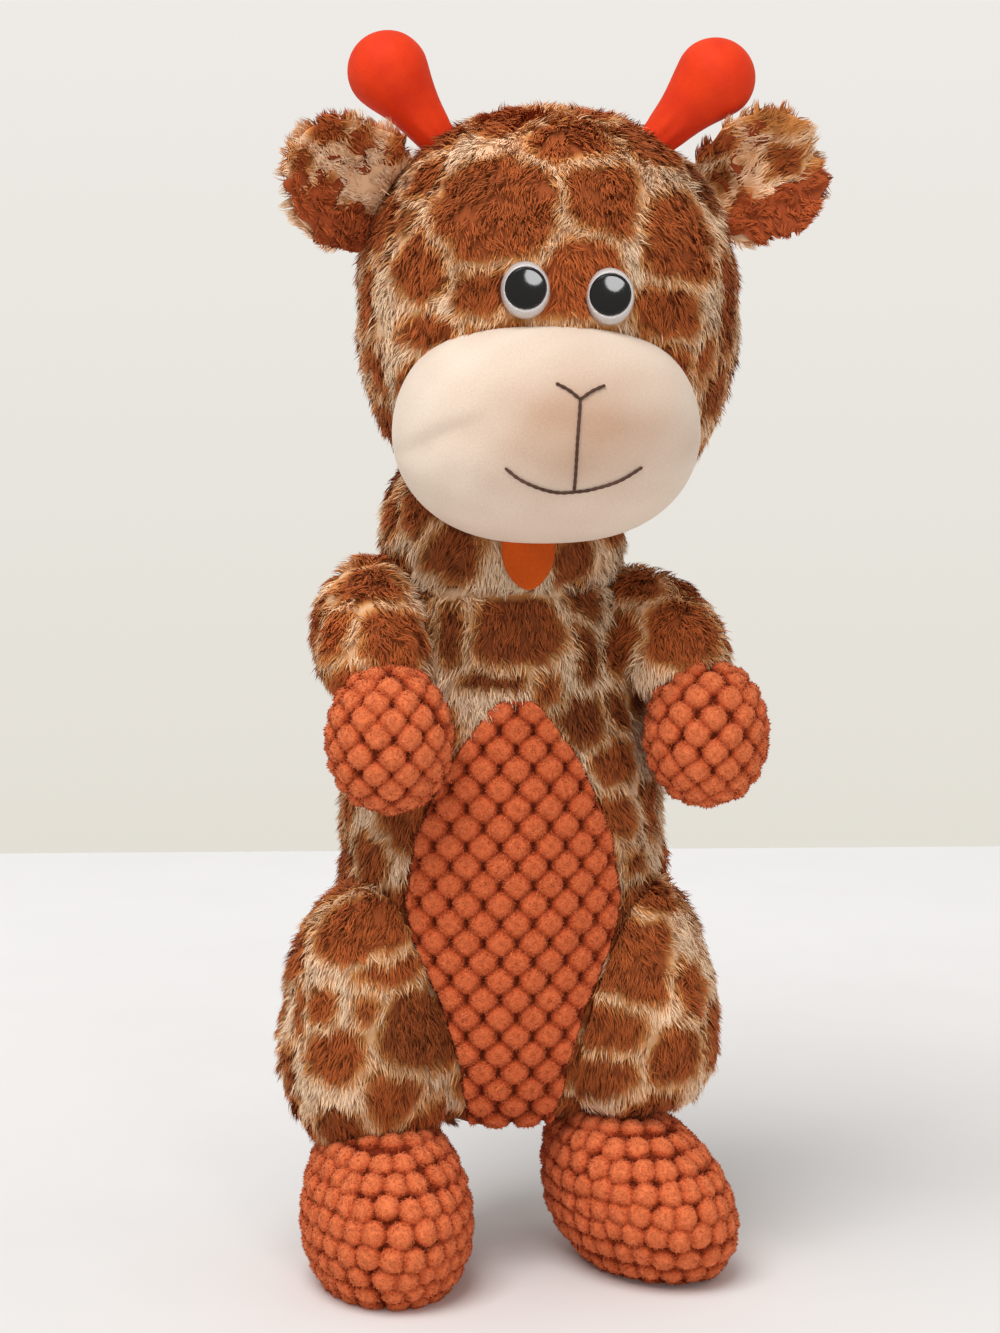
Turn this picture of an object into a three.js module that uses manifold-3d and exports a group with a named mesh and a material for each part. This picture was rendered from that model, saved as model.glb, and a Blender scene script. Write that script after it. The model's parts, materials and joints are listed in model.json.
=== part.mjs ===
// A stuffed plush giraffe that stands on its own two feet, about 380 mm tall.
// Millimetres, +Z up. The toy faces -Y, and its own left side is +X.
// Each stuffed piece is a sewn cover with its own wad of fibre filling inside.
import * as THREE from "three";
import { mergeVertices } from "three/addons/utils/BufferGeometryUtils.js";
import Module from "manifold-3d";

const wasm = await Module();
wasm.setup();

// Driving dimensions that several pieces share
const seamGap = 0.3; // clearance between two pieces that are sewn or turn together
const plushThickness = 2.4; // backing of the plush with its pile pressed flat
const bubbleThickness = 3.2; // bubble plush, thicker than the pile
const velourThickness = 1.8; // short velour of the muzzle
const overrun = 20; // how far a cutting tool runs past what it cuts

// A stuffed form has its widest level between rise and drop. Its fullness shares say how
// square it is towards the top and the bottom: 1 is an ellipsoid and less is squarer.

// The torso stands upright, widest at its hips, open where the neck is sewn on
const torso = {
  seatHeight: 45, // the seat's height above the floor
  halfWidth: 49.5,
  halfDepth: 41,
  rise: 118,
  drop: 73,
  neckCut: 20, // how much of the form's top the neck seam cuts off
  topFullShare: 0.64,
  topDeepFullShare: 0.37,
  bottomFullShare: 0.42,
};

// The belly panel is a long diamond of bubble plush let into the torso's front
const belly = {
  halfWidth: 33,
  height: 136,
  proud: 1.2, // stands out from the plush round it
  seatInset: 3.5, // its lower point's height above the seat
};
// Half of the panel's outline from its lower end to its upper point: across, up
const bellyShares = [
  [0, 0], [0.4, 0.01], [0.5, 0.17], [0.68, 0.31], [0.94, 0.45], [1, 0.53], [0.9, 0.69],
  [0.57, 0.86], [0.2, 0.98], [0, 1],
];

// The squeaker is a flat round bulb between the two halves of the torso's filling
const squeaker = {
  radius: 17,
  halfThickness: 6,
  rimRadius: 3,
  nozzleRadius: 4.5,
  nozzleLength: 4,
  rise: 12, // above the torso's widest level
};

// The neck is a ball on the torso's open top, so the head nods and turns over it
const neck = {
  ballRadius: 36,
  centreRise: 12, // above the neck seam
  openingRadius: 20,
  turnGap: 0.8, // round the ball, for the head and arms to turn against it
};

// The head sits a little to the toy's left, as the toy droops
const head = {
  halfWidth: 57,
  halfDepth: 50,
  rise: 59,
  drop: 60,
  left: 14, // from the neck's axis to the head's middle
  neckSink: 26, // how deep the neck's ball reaches into the head
  topFullShare: 0.85,
  bottomFullShare: 0.6,
};

// The muzzle is a padded velour bowl sewn over the lower face
const muzzle = {
  halfWidth: 46,
  halfDepth: 40,
  rise: 31,
  drop: 33,
  headSink: 14, // how far its middle lies behind the head's front
  right: 3.5, // from the head's middle
  below: 35,
  topFullShare: 0.8,
  bottomFullShare: 0.8,
};

// The nose and mouth are embroidered lines, placed from the muzzle's middle
const embroidery = {
  threadRadius: 0.7,
  left: 4,
  noseRise: 12, // the nose's foot above the muzzle's middle
  noseHalfWidth: 11,
  noseHeight: 7,
  mouthDrop: 27, // from the nose's foot to the smile's lowest point
  smileHalfWidth: 20.5,
  smileHeight: 6,
};
// One arm of the nose from its foot: across, up
const noseArmShares = [[0, 0], [0.4, 0.45], [1, 1]];
// The smile's points across, whose height follows their square
const smileShares = [-1, -0.5, 0, 0.5, 1];

// A safety eye is a domed oval button on a shank, held behind the cover by a washer
const eye = {
  halfSpacing: 12.4,
  rise: 7, // above the head's widest level
  radius: 8,
  proud: 5.6,
  pupilRadius: 6.6,
  pupilProud: 1, // out from the button's dome
  pupilSeat: 1.6, // depth of the pupil's recess
  shankRadius: 2,
  shankLength: 11,
  washerRadius: 6.5,
  washerThickness: 1.4,
};
const eyeTallShare = 1.14; // the oval's height by its width

// An ear is a cupped leaf that folds on a rounded seam let into the head's side
const ear = {
  length: 37,
  halfWidth: 19,
  halfThickness: 3.6,
  cup: 9, // how far the leaf's edges curl forwards
  liningInset: 4,
  liningProud: 1.1,
  seamRadius: 3,
  seamHalfLength: 15,
  behind: 3, // behind the head's middle
  topFullShare: 0.7,
  bottomFullShare: 0.5,
};
const earRiseShare = 0.54; // of the head's rise above its widest level

// A horn is a velvety club on a rounded root let into the crown
const horn = { length: 38.5, rootRadius: 5.6, rootGap: 0.5, bulbRadius: 12.4 };
const hornRiseShare = 0.85;
// The horn's outline between root and bulb: share of its length, share of the bulb's radius
const hornStemShares = [[0.2, 0.47], [0.34, 0.58], [0.46, 0.78]];

// The tag is a plain felt drop that hangs under the chin
const tag = {
  halfWidth: 8,
  height: 19,
  thickness: 1.2,
  hang: 15.5, // how far it hangs below the muzzle
  right: 7.5, // from the muzzle's middle
  neckGap: 3,
};
// Half of the tag's outline from its tip to its top: across, up
const tagShares = [[0, 0], [0.35, 0.06], [0.75, 0.25], [1, 0.55], [0.95, 1], [0, 1]];

// An arm is a plush sleeve from the shoulder to a bubble-plush paw
const sleeve = {
  halfWidth: 18,
  halfDepth: 17,
  rise: 27,
  drop: 27,
  topFullShare: 0.7,
  bottomFullShare: 0.7,
};
const paw = {
  halfWidth: 18.8,
  halfDepth: 17.3,
  rise: 22,
  drop: 22,
  topFullShare: 0.85,
  bottomFullShare: 0.85,
};

// A leg is a pear-shaped plush thigh over a bubble-plush foot
const thigh = {
  halfWidth: 26.5,
  halfDepth: 25,
  rise: 52,
  drop: 31,
  seatRise: 27, // its widest level above the torso's seat
  topFullShare: 0.85,
  bottomFullShare: 0.6,
};
const hipDepthShare = 3; // how deep the torso's back is drawn for the thighs to clear it
const foot = {
  halfWidth: 26,
  halfDepth: 38,
  swellHeight: 20, // height of its widest level above the floor
  drop: 30, // where the form would close below the floor
  ankleTuck: 11, // how far its top reaches up into the thigh
  topBack: 10, // how far its top leans back to the ankle
  topFullShare: 0.8,
  bottomFullShare: 0.75,
};

// What differs from side to side, because the toy stands with one foot forwards. Sleeves and
// thighs are placed from the torso, paws from the sleeves' ends and feet from the thighs.
const rightSide = {
  name: "right",
  side: -1,
  eyeRise: 1,
  earTurn: 0.45,
  hornTurn: 0.64,
  sleeveOut: 7.5, sleeveForward: 18, sleeveBelow: 14, sleeveAim: [0.02, -0.8, -0.6],
  pawIn: 3.5, pawForward: 5.5, pawBelow: 13,
  thighIn: 6.5, thighForward: 18,
  footIn: 4, footForward: 12, toeOutTurn: -0.06,
};
const leftSide = {
  name: "left",
  side: 1,
  eyeRise: -1,
  earTurn: 0.1,
  hornTurn: 0.76,
  sleeveOut: 12, sleeveForward: 15, sleeveBelow: 16, sleeveAim: [0.52, -0.68, -0.52],
  pawIn: 1.5, pawForward: 1, pawBelow: 15,
  thighIn: 9.5, thighForward: 14,
  footIn: -1, footForward: 9, toeOutTurn: 0.46,
};

// Mesh detail of the large covers, of the limbs, and of what lies hidden inside them
const outerDetail = { sides: 22, rings: 12 };
const limbDetail = { sides: 16, rings: 9 };
const coreDetail = { sides: 14, rings: 8 };
const hiddenDetail = { sides: 10, rings: 6 };
const roundSides = 12;
const shankSides = 8;
const threadSides = 6;

// Finishes
const finish = (color, roughness) => new THREE.MeshStandardMaterial({ color, roughness, metalness: 0 });
const plush = finish(0xa8623a, 0.95);
const bubble = finish(0xcf5a33, 0.9);
const velour = finish(0xe4d0b0, 0.9);
const velvet = finish(0xee4a17, 0.8);
const lining = finish(0xb4562c, 0.9);
const felt = finish(0xc9510a, 0.9);
const thread = finish(0x4b3327, 0.7);
const fibre = finish(0xf2f0ea, 1);
const whitePlastic = finish(0xf4f4f2, 0.15);
const blackPlastic = finish(0x0b0b0d, 0.08);
const squeakerPlastic = finish(0xe8e4d8, 0.5);

// A closed geometry as a solid that can be joined and cut
function solidOf(geometry) {
  const bare = geometry.index ? geometry.toNonIndexed() : geometry.clone();
  bare.deleteAttribute("normal");
  bare.deleteAttribute("uv");
  const merged = mergeVertices(bare);
  const corners = merged.index.array;
  const kept = [];
  for (let i = 0; i < corners.length; i += 3) {
    const [a, b, c] = [corners[i], corners[i + 1], corners[i + 2]];
    if (a !== b && b !== c && a !== c) kept.push(a, b, c);
  }
  return new wasm.Manifold(new wasm.Mesh({
    numProp: 3,
    vertProperties: new Float32Array(merged.attributes.position.array),
    triVerts: new Uint32Array(kept),
  }));
}

// A solid as a geometry, taken from the toy's frame into a group's own
function geometryOf(solid, group) {
  const made = solid.getMesh();
  const geometry = new THREE.BufferGeometry();
  geometry.setAttribute("position", new THREE.BufferAttribute(new Float32Array(made.vertProperties), 3));
  geometry.setIndex(new THREE.BufferAttribute(new Uint32Array(made.triVerts), 1));
  geometry.applyMatrix4(group.matrixWorld.clone().invert());
  geometry.computeVertexNormals();
  return geometry;
}

const vector = (x, y, z) => new THREE.Vector3(x, y, z);
const up = vector(0, 0, 1);
const down = vector(0, 0, -1);
const back = vector(0, 1, 0);
const forward = vector(0, -1, 0);
const cut = (solid, ...tools) => tools.reduce((left, tool) => left.subtract(tool), solid);

// The half-widths of a stuffed form at a level, as shares of its largest, from the share of
// its rise or drop at which the level lies
function levelOf(form, heightShare) {
  const round = Math.sqrt(Math.max(1 - heightShare ** 2, 0));
  const full = heightShare > 0 ? form.topFullShare : form.bottomFullShare;
  const deepFull = heightShare > 0 ? form.topDeepFullShare ?? full : full;
  return { acrossShare: round ** full, deepShare: round ** deepFull };
}

// A stuffed form: level rings swell from a closed bottom to a closed top. A ring's height
// follows the sine of its angle, and its half-widths the cosine to a fullness power. grow
// moves the whole surface out or in. A form may lean back towards its top, cup its edges
// forwards, and turn.
function stuffed(form, grow = 0, detail = outerDetail) {
  const points = [];
  const faces = [];
  const { sides, rings } = detail;
  for (let ring = 0; ring <= rings; ring += 1) {
    const heightShare = Math.sin(-Math.PI / 2 + (Math.PI * ring) / rings);
    const level = levelOf(form, heightShare);
    const reach = (heightShare > 0 ? form.rise : form.drop) + grow;
    const leanShare = Math.max(heightShare, 0) ** 2;
    const pole = ring === 0 || ring === rings;
    for (let side = 0; side < (pole ? 1 : sides); side += 1) {
      const turn = (2 * Math.PI * side) / sides;
      const acrossShare = pole ? 0 : level.acrossShare * Math.cos(turn);
      const deepShare = pole ? 0 : level.deepShare * Math.sin(turn);
      const lean = (form.topBack ?? 0) * leanShare - (form.cup ?? 0) * acrossShare ** 2;
      points.push(
        (form.halfWidth + grow) * acrossShare,
        (form.halfDepth + grow) * deepShare + lean,
        reach * heightShare,
      );
    }
  }
  const first = (ring) => (ring === 0 ? 0 : 1 + (ring - 1) * sides);
  for (let ring = 0; ring < rings; ring += 1) {
    const [low, high] = [first(ring), first(ring + 1)];
    for (let side = 0; side < sides; side += 1) {
      const next = (side + 1) % sides;
      if (ring > 0) faces.push(low + side, low + next, high + (ring + 1 === rings ? 0 : next));
      if (ring + 1 < rings) faces.push(low + (ring ? side : 0), high + next, high + side);
    }
  }
  const geometry = new THREE.BufferGeometry();
  geometry.setAttribute("position", new THREE.BufferAttribute(new Float32Array(points), 3));
  geometry.setIndex(faces);
  if (form.turn) geometry.applyQuaternion(form.turn);
  geometry.translate(form.middle.x, form.middle.y, form.middle.z);
  return solidOf(geometry);
}

// How deep a form's front surface lies at a place across and up, for forms that aren't turned
function frontOf(form, x, z) {
  const above = z - form.middle.z;
  const heightShare = THREE.MathUtils.clamp(above / (above > 0 ? form.rise : form.drop), -1, 1);
  const level = levelOf(form, heightShare);
  const acrossShare = (x - form.middle.x) / (form.halfWidth * level.acrossShare);
  return form.middle.y - form.halfDepth * level.deepShare * Math.sqrt(Math.max(1 - acrossShare ** 2, 0));
}

// Where a form's outline lies on one side, at a share of its rise, and the way out of it
function edgeOf(form, side, riseShare) {
  const angle = Math.asin(riseShare);
  const fullShare = form.topFullShare;
  const across = form.halfWidth * Math.cos(angle) ** fullShare;
  const narrowing = across * fullShare * Math.tan(angle);
  return {
    place: vector(side * across, 0, form.rise * riseShare).add(form.middle),
    out: vector(side * form.rise * Math.cos(angle), 0, narrowing).normalize(),
  };
}

const ball = (radius, centre, sides = outerDetail.sides) =>
  solidOf(new THREE.SphereGeometry(radius, sides, sides / 2).rotateX(Math.PI / 2)
    .translate(centre.x, centre.y, centre.z));

// A rod between two points
function rod(radius, from, to, sides = roundSides) {
  const along = to.clone().sub(from);
  const turn = new THREE.Quaternion().setFromUnitVectors(back, along.clone().normalize());
  const middle = from.clone().addScaledVector(along, 1 / 2);
  return solidOf(new THREE.CylinderGeometry(radius, radius, along.length(), sides)
    .applyQuaternion(turn).translate(middle.x, middle.y, middle.z));
}

// A block that fills everything past a plane, far enough to cut any piece
function beyond(point, away) {
  const size = 2 * (torso.rise + torso.drop);
  const turn = new THREE.Quaternion().setFromUnitVectors(up, away);
  return solidOf(new THREE.BoxGeometry(size, size, size).translate(0, 0, size / 2)
    .applyQuaternion(turn).translate(point.x, point.y, point.z));
}

// A turned piece whose profile of radius and height runs from axis to axis
function turned(profile, place, sides = roundSides) {
  const points = profile.map(([radius, height]) => new THREE.Vector2(radius, height));
  return solidOf(new THREE.LatheGeometry(points, sides).applyMatrix4(place));
}

// Points of an arc in a profile, between two angles up from level
function arc(radius, height, from, to, count) {
  return Array.from({ length: count }, (_, i) => {
    const angle = THREE.MathUtils.degToRad(from + ((to - from) * i) / (count - 1));
    return [radius * Math.cos(angle), height + radius * Math.sin(angle)];
  });
}

// A plate whose outline is given by half, from its foot up, and drawn in the plane of x and z.
// It runs forwards from y = 0.
function mirroredPlate(shares, halfWidth, height, depth) {
  const half = shares.map(([across, rise]) => new THREE.Vector2(across * halfWidth, rise * height));
  const other = half.filter((point) => point.x > 0).reverse()
    .map((point) => new THREE.Vector2(-point.x, point.y));
  return new THREE.ExtrudeGeometry(new THREE.Shape([...half, ...other]), { depth, bevelEnabled: false })
    .rotateX(Math.PI / 2);
}

// The toy is a tree of groups, each at the place where it is sewn to the one that carries it
const toy = new THREE.Group();
function groupAt(parent, place) {
  const group = new THREE.Group();
  group.position.copy(parent.worldToLocal(place.clone()));
  parent.add(group);
  group.updateMatrixWorld(true);
  return group;
}
function add(group, name, solid, material) {
  const mesh = new THREE.Mesh(geometryOf(solid, group), material);
  mesh.name = name;
  group.add(mesh);
}

// Torso
const hipLevel = torso.seatHeight + torso.drop;
const neckSeam = hipLevel + torso.rise - torso.neckCut;
const torsoForm = { ...torso, middle: vector(0, 0, hipLevel) };
const aboveNeckSeam = (grow) => beyond(vector(0, 0, neckSeam + grow), up);
const torsoClear = stuffed(torsoForm, seamGap).subtract(aboveNeckSeam(seamGap));
const torsoWall = stuffed(torsoForm, plushThickness);
const torsoWallClear = stuffed(torsoForm, plushThickness + seamGap);

// The panel's outline, run from the torso's middle out past its front
function bellyTool(grow) {
  const depth = torso.halfDepth + overrun;
  return solidOf(mirroredPlate(bellyShares, belly.halfWidth + grow, belly.height + 2 * grow, depth)
    .translate(0, 0, torso.seatHeight + belly.seatInset - grow));
}
add(toy, "torso_cover", cut(
  stuffed(torsoForm),
  stuffed(torsoForm, -plushThickness, coreDetail),
  aboveNeckSeam(0),
  bellyTool(seamGap),
), plush);
const bellySkin = stuffed(torsoForm, belly.proud)
  .subtract(stuffed(torsoForm, belly.proud - bubbleThickness, coreDetail));
add(toy, "belly_panel", bellySkin.intersect(bellyTool(0)), bubble);

// The squeaker faces forwards, with its nozzle to the toy's left
const squeakerMiddle = vector(0, 0, hipLevel + squeaker.rise);
function squeakerSolid(grow) {
  const { radius, halfThickness, rimRadius, nozzleRadius, nozzleLength } = squeaker;
  const profile = [
    [0, -halfThickness - grow], [radius - rimRadius, -halfThickness - grow],
    [radius + grow, -rimRadius], [radius + grow, rimRadius],
    [radius - rimRadius, halfThickness + grow], [0, halfThickness + grow],
  ];
  const place = new THREE.Matrix4().setPosition(squeakerMiddle);
  const nozzleEnd = squeakerMiddle.clone().add(vector(radius + nozzleLength + grow, 0, 0));
  return turned(profile, place).add(rod(nozzleRadius + grow, squeakerMiddle, nozzleEnd));
}
add(toy, "squeaker", squeakerSolid(0), squeakerPlastic);
const torsoLining = Math.max(plushThickness, bubbleThickness - belly.proud) + seamGap;
const torsoFilling = cut(
  stuffed(torsoForm, -torsoLining, coreDetail),
  aboveNeckSeam(-seamGap),
  squeakerSolid(seamGap),
);
for (const [end, away] of [["front", back], ["back", forward]]) {
  const split = beyond(squeakerMiddle.clone().addScaledVector(away, -seamGap / 2), away);
  add(toy, `torso_filling_${end}`, torsoFilling.subtract(split), fibre);
}

// Neck
const neckCentre = vector(0, 0, neckSeam + neck.centreRise);
const neckGroup = groupAt(toy, neckCentre);
const neckBall = (grow, sides) => ball(neck.ballRadius + grow, neckCentre, sides);
const belowNeckSeam = beyond(vector(0, 0, neckSeam + seamGap), down);
const neckOpening = rod(
  neck.openingRadius, neckCentre, neckCentre.clone().add(vector(0, 0, neck.ballRadius + overrun)),
);
add(neckGroup, "neck_cover", cut(
  neckBall(0), neckBall(-plushThickness, coreDetail.sides), belowNeckSeam, neckOpening,
), plush);
add(neckGroup, "neck_filling", cut(
  neckBall(-plushThickness - seamGap, coreDetail.sides), belowNeckSeam,
), fibre);
const neckClear = neckBall(neck.turnGap);
const neckWall = neckBall(neck.turnGap + plushThickness);
const neckWallClear = neckBall(neck.turnGap + plushThickness + seamGap);

// Head
const headGroup = groupAt(neckGroup, neckCentre);
const headRise = neck.ballRadius + head.drop - head.neckSink;
const headForm = { ...head, middle: neckCentre.clone().add(vector(head.left, 0, headRise)) };
const headClear = stuffed(headForm, seamGap);

// Eyes, each with its shank through the cover and a washer behind it
const domeShares = arc(1, 0, 0, 90, 4);
const eyes = [rightSide, leftSide].map(({ name, side, eyeRise }) => {
  const x = headForm.middle.x + side * eye.halfSpacing;
  const z = headForm.middle.z + eye.rise + eyeRise;
  const seat = vector(x, frontOf(headForm, x, z), z);
  const behind = (depth) => seat.clone().add(vector(0, depth, 0));
  const facing = (depth) => new THREE.Matrix4().makeRotationX(Math.PI).setPosition(behind(depth));
  const oval = facing(0).multiply(new THREE.Matrix4().makeScale(1, 1, eyeTallShare));
  const dome = domeShares.map(([across, rise]) => [eye.radius * across, eye.proud * rise]);
  const button = turned([[0, -eye.proud], [eye.radius, -eye.proud], ...dome], oval);
  const shank = rod(eye.shankRadius, behind(-eye.shankRadius), behind(eye.shankLength), shankSides);

  const pupilBase = eye.proud - eye.pupilSeat;
  const pocketRadius = eye.pupilRadius + seamGap;
  const pocketTop = eye.proud + overrun;
  const pocket = turned(
    [[0, pupilBase], [pocketRadius, pupilBase], [pocketRadius, pocketTop], [0, pocketTop]], facing(0),
  );
  const pupilHeight = eye.pupilSeat + eye.pupilProud - seamGap;
  const pupilDome = domeShares.map(([across, rise]) => [
    eye.pupilRadius * across, pupilBase + seamGap + pupilHeight * rise,
  ]);

  const edgeDepth = frontOf(headForm, x + side * eye.washerRadius, z + eye.washerRadius) - seat.y;
  const washerFront = edgeDepth + plushThickness + seamGap;
  const washerBack = washerFront + eye.washerThickness;
  const washerBore = eye.shankRadius + seamGap;
  const washer = rod(eye.washerRadius, behind(washerFront), behind(washerBack))
    .subtract(rod(washerBore, behind(0), behind(washerBack + overrun), shankSides));
  return {
    name,
    white: button.subtract(headClear).add(shank).subtract(pocket),
    pupil: turned([[0, pupilBase + seamGap], ...pupilDome], facing(0)),
    washer,
    holes: [
      rod(washerBore, behind(-overrun), behind(eye.shankLength + seamGap), shankSides),
      rod(eye.washerRadius + seamGap, behind(washerFront - seamGap), behind(washerBack + seamGap)),
    ],
  };
});

// Each ear folds on a seam rod, and each horn turns on a root ball, both let into the head
const crown = [rightSide, leftSide].map(({ name, side, earTurn, hornTurn }) => {
  const { place, out } = edgeOf(headForm, side, earRiseShare);
  const seam = place.add(vector(0, ear.behind, 0));
  const across = vector(out.z, 0, -out.x);
  const leafOut = out.clone().applyAxisAngle(across, earTurn);
  const leafBack = leafOut.clone().cross(across);
  const seamRod = (grow) => {
    const reach = ear.seamHalfLength + grow;
    return rod(
      ear.seamRadius + grow,
      seam.clone().addScaledVector(across, -reach), seam.clone().addScaledVector(across, reach),
    );
  };
  const hornSeat = edgeOf(headForm, side, hornRiseShare).place;
  const hornAim = vector(side * Math.sin(hornTurn), 0, Math.cos(hornTurn));
  const hornPlace = new THREE.Matrix4()
    .makeRotationFromQuaternion(new THREE.Quaternion().setFromUnitVectors(back, hornAim))
    .setPosition(hornSeat);
  const socketRadius = horn.rootRadius + horn.rootGap;
  const hornSocket = turned(
    [[0, -socketRadius], ...arc(socketRadius, 0, -60, 60, 5), [0, socketRadius]],
    hornPlace, limbDetail.sides,
  );
  const sockets = [seamRod(seamGap), hornSocket];
  return { name, seam, across, leafOut, leafBack, seamRod, hornSeat, hornPlace, sockets };
});

// Head cover and filling, once what is let into them is known
const headPockets = [...crown.flatMap((each) => each.sockets), ...eyes.flatMap((each) => each.holes)];
add(headGroup, "head_cover", cut(
  stuffed(headForm), stuffed(headForm, -plushThickness, coreDetail), neckClear, ...headPockets,
), plush);
add(headGroup, "head_filling", cut(
  stuffed(headForm, -plushThickness - seamGap, coreDetail), neckClear, ...headPockets,
), fibre);
for (const { name, white, pupil, washer } of eyes) {
  add(headGroup, `${name}_eye`, white, whitePlastic);
  add(headGroup, `${name}_pupil`, pupil, blackPlastic);
  add(headGroup, `${name}_eye_washer`, washer, whitePlastic);
}

// Muzzle
const muzzlePlace = vector(-muzzle.right, muzzle.headSink - head.halfDepth, -muzzle.below);
const muzzleForm = { ...muzzle, middle: headForm.middle.clone().add(muzzlePlace) };
add(headGroup, "muzzle_cover", cut(
  stuffed(muzzleForm), stuffed(muzzleForm, -velourThickness, coreDetail), headClear, neckClear,
), velour);
add(headGroup, "muzzle_filling", cut(
  stuffed(muzzleForm, -velourThickness - seamGap, coreDetail), headClear, neckClear,
), fibre);

// A thread laid on the muzzle's front through places across and up from its middle
function stitch(places, steps) {
  const { threadRadius } = embroidery;
  const line = new THREE.CatmullRomCurve3(places.map(([across, rise]) => {
    const x = muzzleForm.middle.x + embroidery.left + across;
    const z = muzzleForm.middle.z + rise;
    return vector(x, frontOf(muzzleForm, x, z) - threadRadius - seamGap, z);
  }));
  const section = new THREE.Shape(Array.from({ length: threadSides }, (_, corner) => {
    const turn = (2 * Math.PI * corner) / threadSides;
    return new THREE.Vector2(threadRadius * Math.cos(turn), threadRadius * Math.sin(turn));
  }));
  return solidOf(new THREE.ExtrudeGeometry(section, { steps, extrudePath: line, bevelEnabled: false }));
}
const { noseRise, noseHalfWidth, noseHeight, mouthDrop, smileHalfWidth, smileHeight } = embroidery;
const noseArm = (side) => stitch(
  noseArmShares.map(([across, rise]) => [side * noseHalfWidth * across, noseRise + noseHeight * rise]), 5,
);
const smile = stitch(
  smileShares.map((share) => [smileHalfWidth * share, noseRise - mouthDrop + smileHeight * share ** 2]), 12,
);
const lip = stitch([[0, noseRise], [0, noseRise - mouthDrop / 2], [0, noseRise - mouthDrop]], 6);
add(headGroup, "nose_and_mouth_stitches", noseArm(-1).add(noseArm(1)).add(lip).add(smile), thread);

// Neck tag, cut to sit under the muzzle
const tagPlate = solidOf(mirroredPlate(tagShares, tag.halfWidth, tag.height, tag.thickness).translate(
  muzzleForm.middle.x - tag.right,
  -neck.ballRadius - tag.neckGap,
  muzzleForm.middle.z - muzzle.drop - tag.hang,
));
add(headGroup, "neck_tag", cut(tagPlate, stuffed(muzzleForm, seamGap), headClear), felt);

// Ears: the leaf with its seam rod, and a lining on its front
for (const { name, seam, across, leafOut, leafBack, seamRod } of crown) {
  const leafForm = {
    ...ear,
    middle: seam.clone().addScaledVector(leafOut, ear.length / 2),
    turn: new THREE.Quaternion().setFromRotationMatrix(
      new THREE.Matrix4().makeBasis(across, leafBack, leafOut),
    ),
    halfDepth: ear.halfThickness,
    rise: ear.length / 2,
    drop: ear.length / 2,
  };
  const liningHalfWidth = ear.halfWidth - ear.liningInset;
  const liningForm = {
    ...leafForm,
    middle: leafForm.middle.clone().addScaledVector(leafBack, -ear.liningProud),
    halfWidth: liningHalfWidth,
    rise: ear.length / 2 - ear.liningInset,
    drop: ear.length / 2 - ear.liningInset,
    cup: ear.cup * (liningHalfWidth / ear.halfWidth) ** 2,
  };
  const headAndSeam = stuffed(headForm, ear.seamRadius);
  const earGroup = groupAt(headGroup, seam);
  add(earGroup, `${name}_ear_back`, stuffed(leafForm, 0, limbDetail).subtract(headAndSeam).add(seamRod(0)), plush);
  add(earGroup, `${name}_ear_lining`, cut(
    stuffed(liningForm, 0, limbDetail),
    stuffed(leafForm, seamGap, limbDetail),
    headAndSeam,
    beyond(seam, leafBack),
  ), lining);
}

// Horns
const hornProfile = [
  [0, -horn.rootRadius],
  ...arc(horn.rootRadius, 0, -60, 30, 4),
  ...hornStemShares.map(([along, radius]) => [horn.bulbRadius * radius, horn.length * along]),
  ...arc(horn.bulbRadius, horn.length - horn.bulbRadius, -25, 75, 6),
  [0, horn.length],
];
for (const { name, hornSeat, hornPlace } of crown) {
  const solid = turned(hornProfile, hornPlace, limbDetail.sides);
  add(groupAt(headGroup, hornSeat), `${name}_horn`, solid, velvet);
}

// Arms: the sleeve is cut by the torso and the neck, and the paw by the sleeve
const shoulderHalfWidth = edgeOf(torsoForm, 1, 1 - torso.neckCut / torso.rise).place.x;
for (const each of [rightSide, leftSide]) {
  const { name, side } = each;
  const [aimOut, aimBack, aimUp] = each.sleeveAim;
  const aim = vector(side * aimOut, aimBack, aimUp).normalize();
  const sleeveForm = {
    ...sleeve,
    middle: vector(side * (shoulderHalfWidth + each.sleeveOut), -each.sleeveForward, neckSeam - each.sleeveBelow),
    turn: new THREE.Quaternion().setFromUnitVectors(down, aim),
  };
  const pawForm = {
    ...paw,
    middle: sleeveForm.middle.clone().addScaledVector(aim, sleeve.drop)
      .add(vector(-side * each.pawIn, -each.pawForward, -each.pawBelow)),
  };
  const sleeveHollow = cut(stuffed(sleeveForm, -plushThickness, hiddenDetail), torsoWall, neckWall);
  const pawHollow = stuffed(pawForm, -bubbleThickness, hiddenDetail);
  const shoulder = vector(side * neck.openingRadius, -each.sleeveForward, neckCentre.z);
  const armGroup = groupAt(toy, shoulder);
  add(armGroup, `${name}_sleeve`, cut(
    stuffed(sleeveForm, 0, limbDetail), torsoClear, neckClear, sleeveHollow, pawHollow,
  ), plush);
  add(armGroup, `${name}_paw`, cut(
    stuffed(pawForm, 0, limbDetail), pawHollow, stuffed(sleeveForm, seamGap, limbDetail), torsoClear,
  ), bubble);
  const armFilling = cut(
    stuffed(sleeveForm, -plushThickness - seamGap, hiddenDetail), torsoWallClear, neckWallClear,
  ).add(stuffed(pawForm, -bubbleThickness - seamGap, hiddenDetail));
  add(armGroup, `${name}_arm_filling`, armFilling.subtract(torsoClear), fibre);
}

// Legs: the thigh is cut by the torso, and the foot by the thigh and flat on the floor
const kneeHeight = torso.seatHeight + thigh.seatRise;
const footRise = kneeHeight - thigh.drop + foot.ankleTuck - foot.swellHeight;
const belowFloor = (grow) => beyond(vector(0, 0, grow), down);
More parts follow.
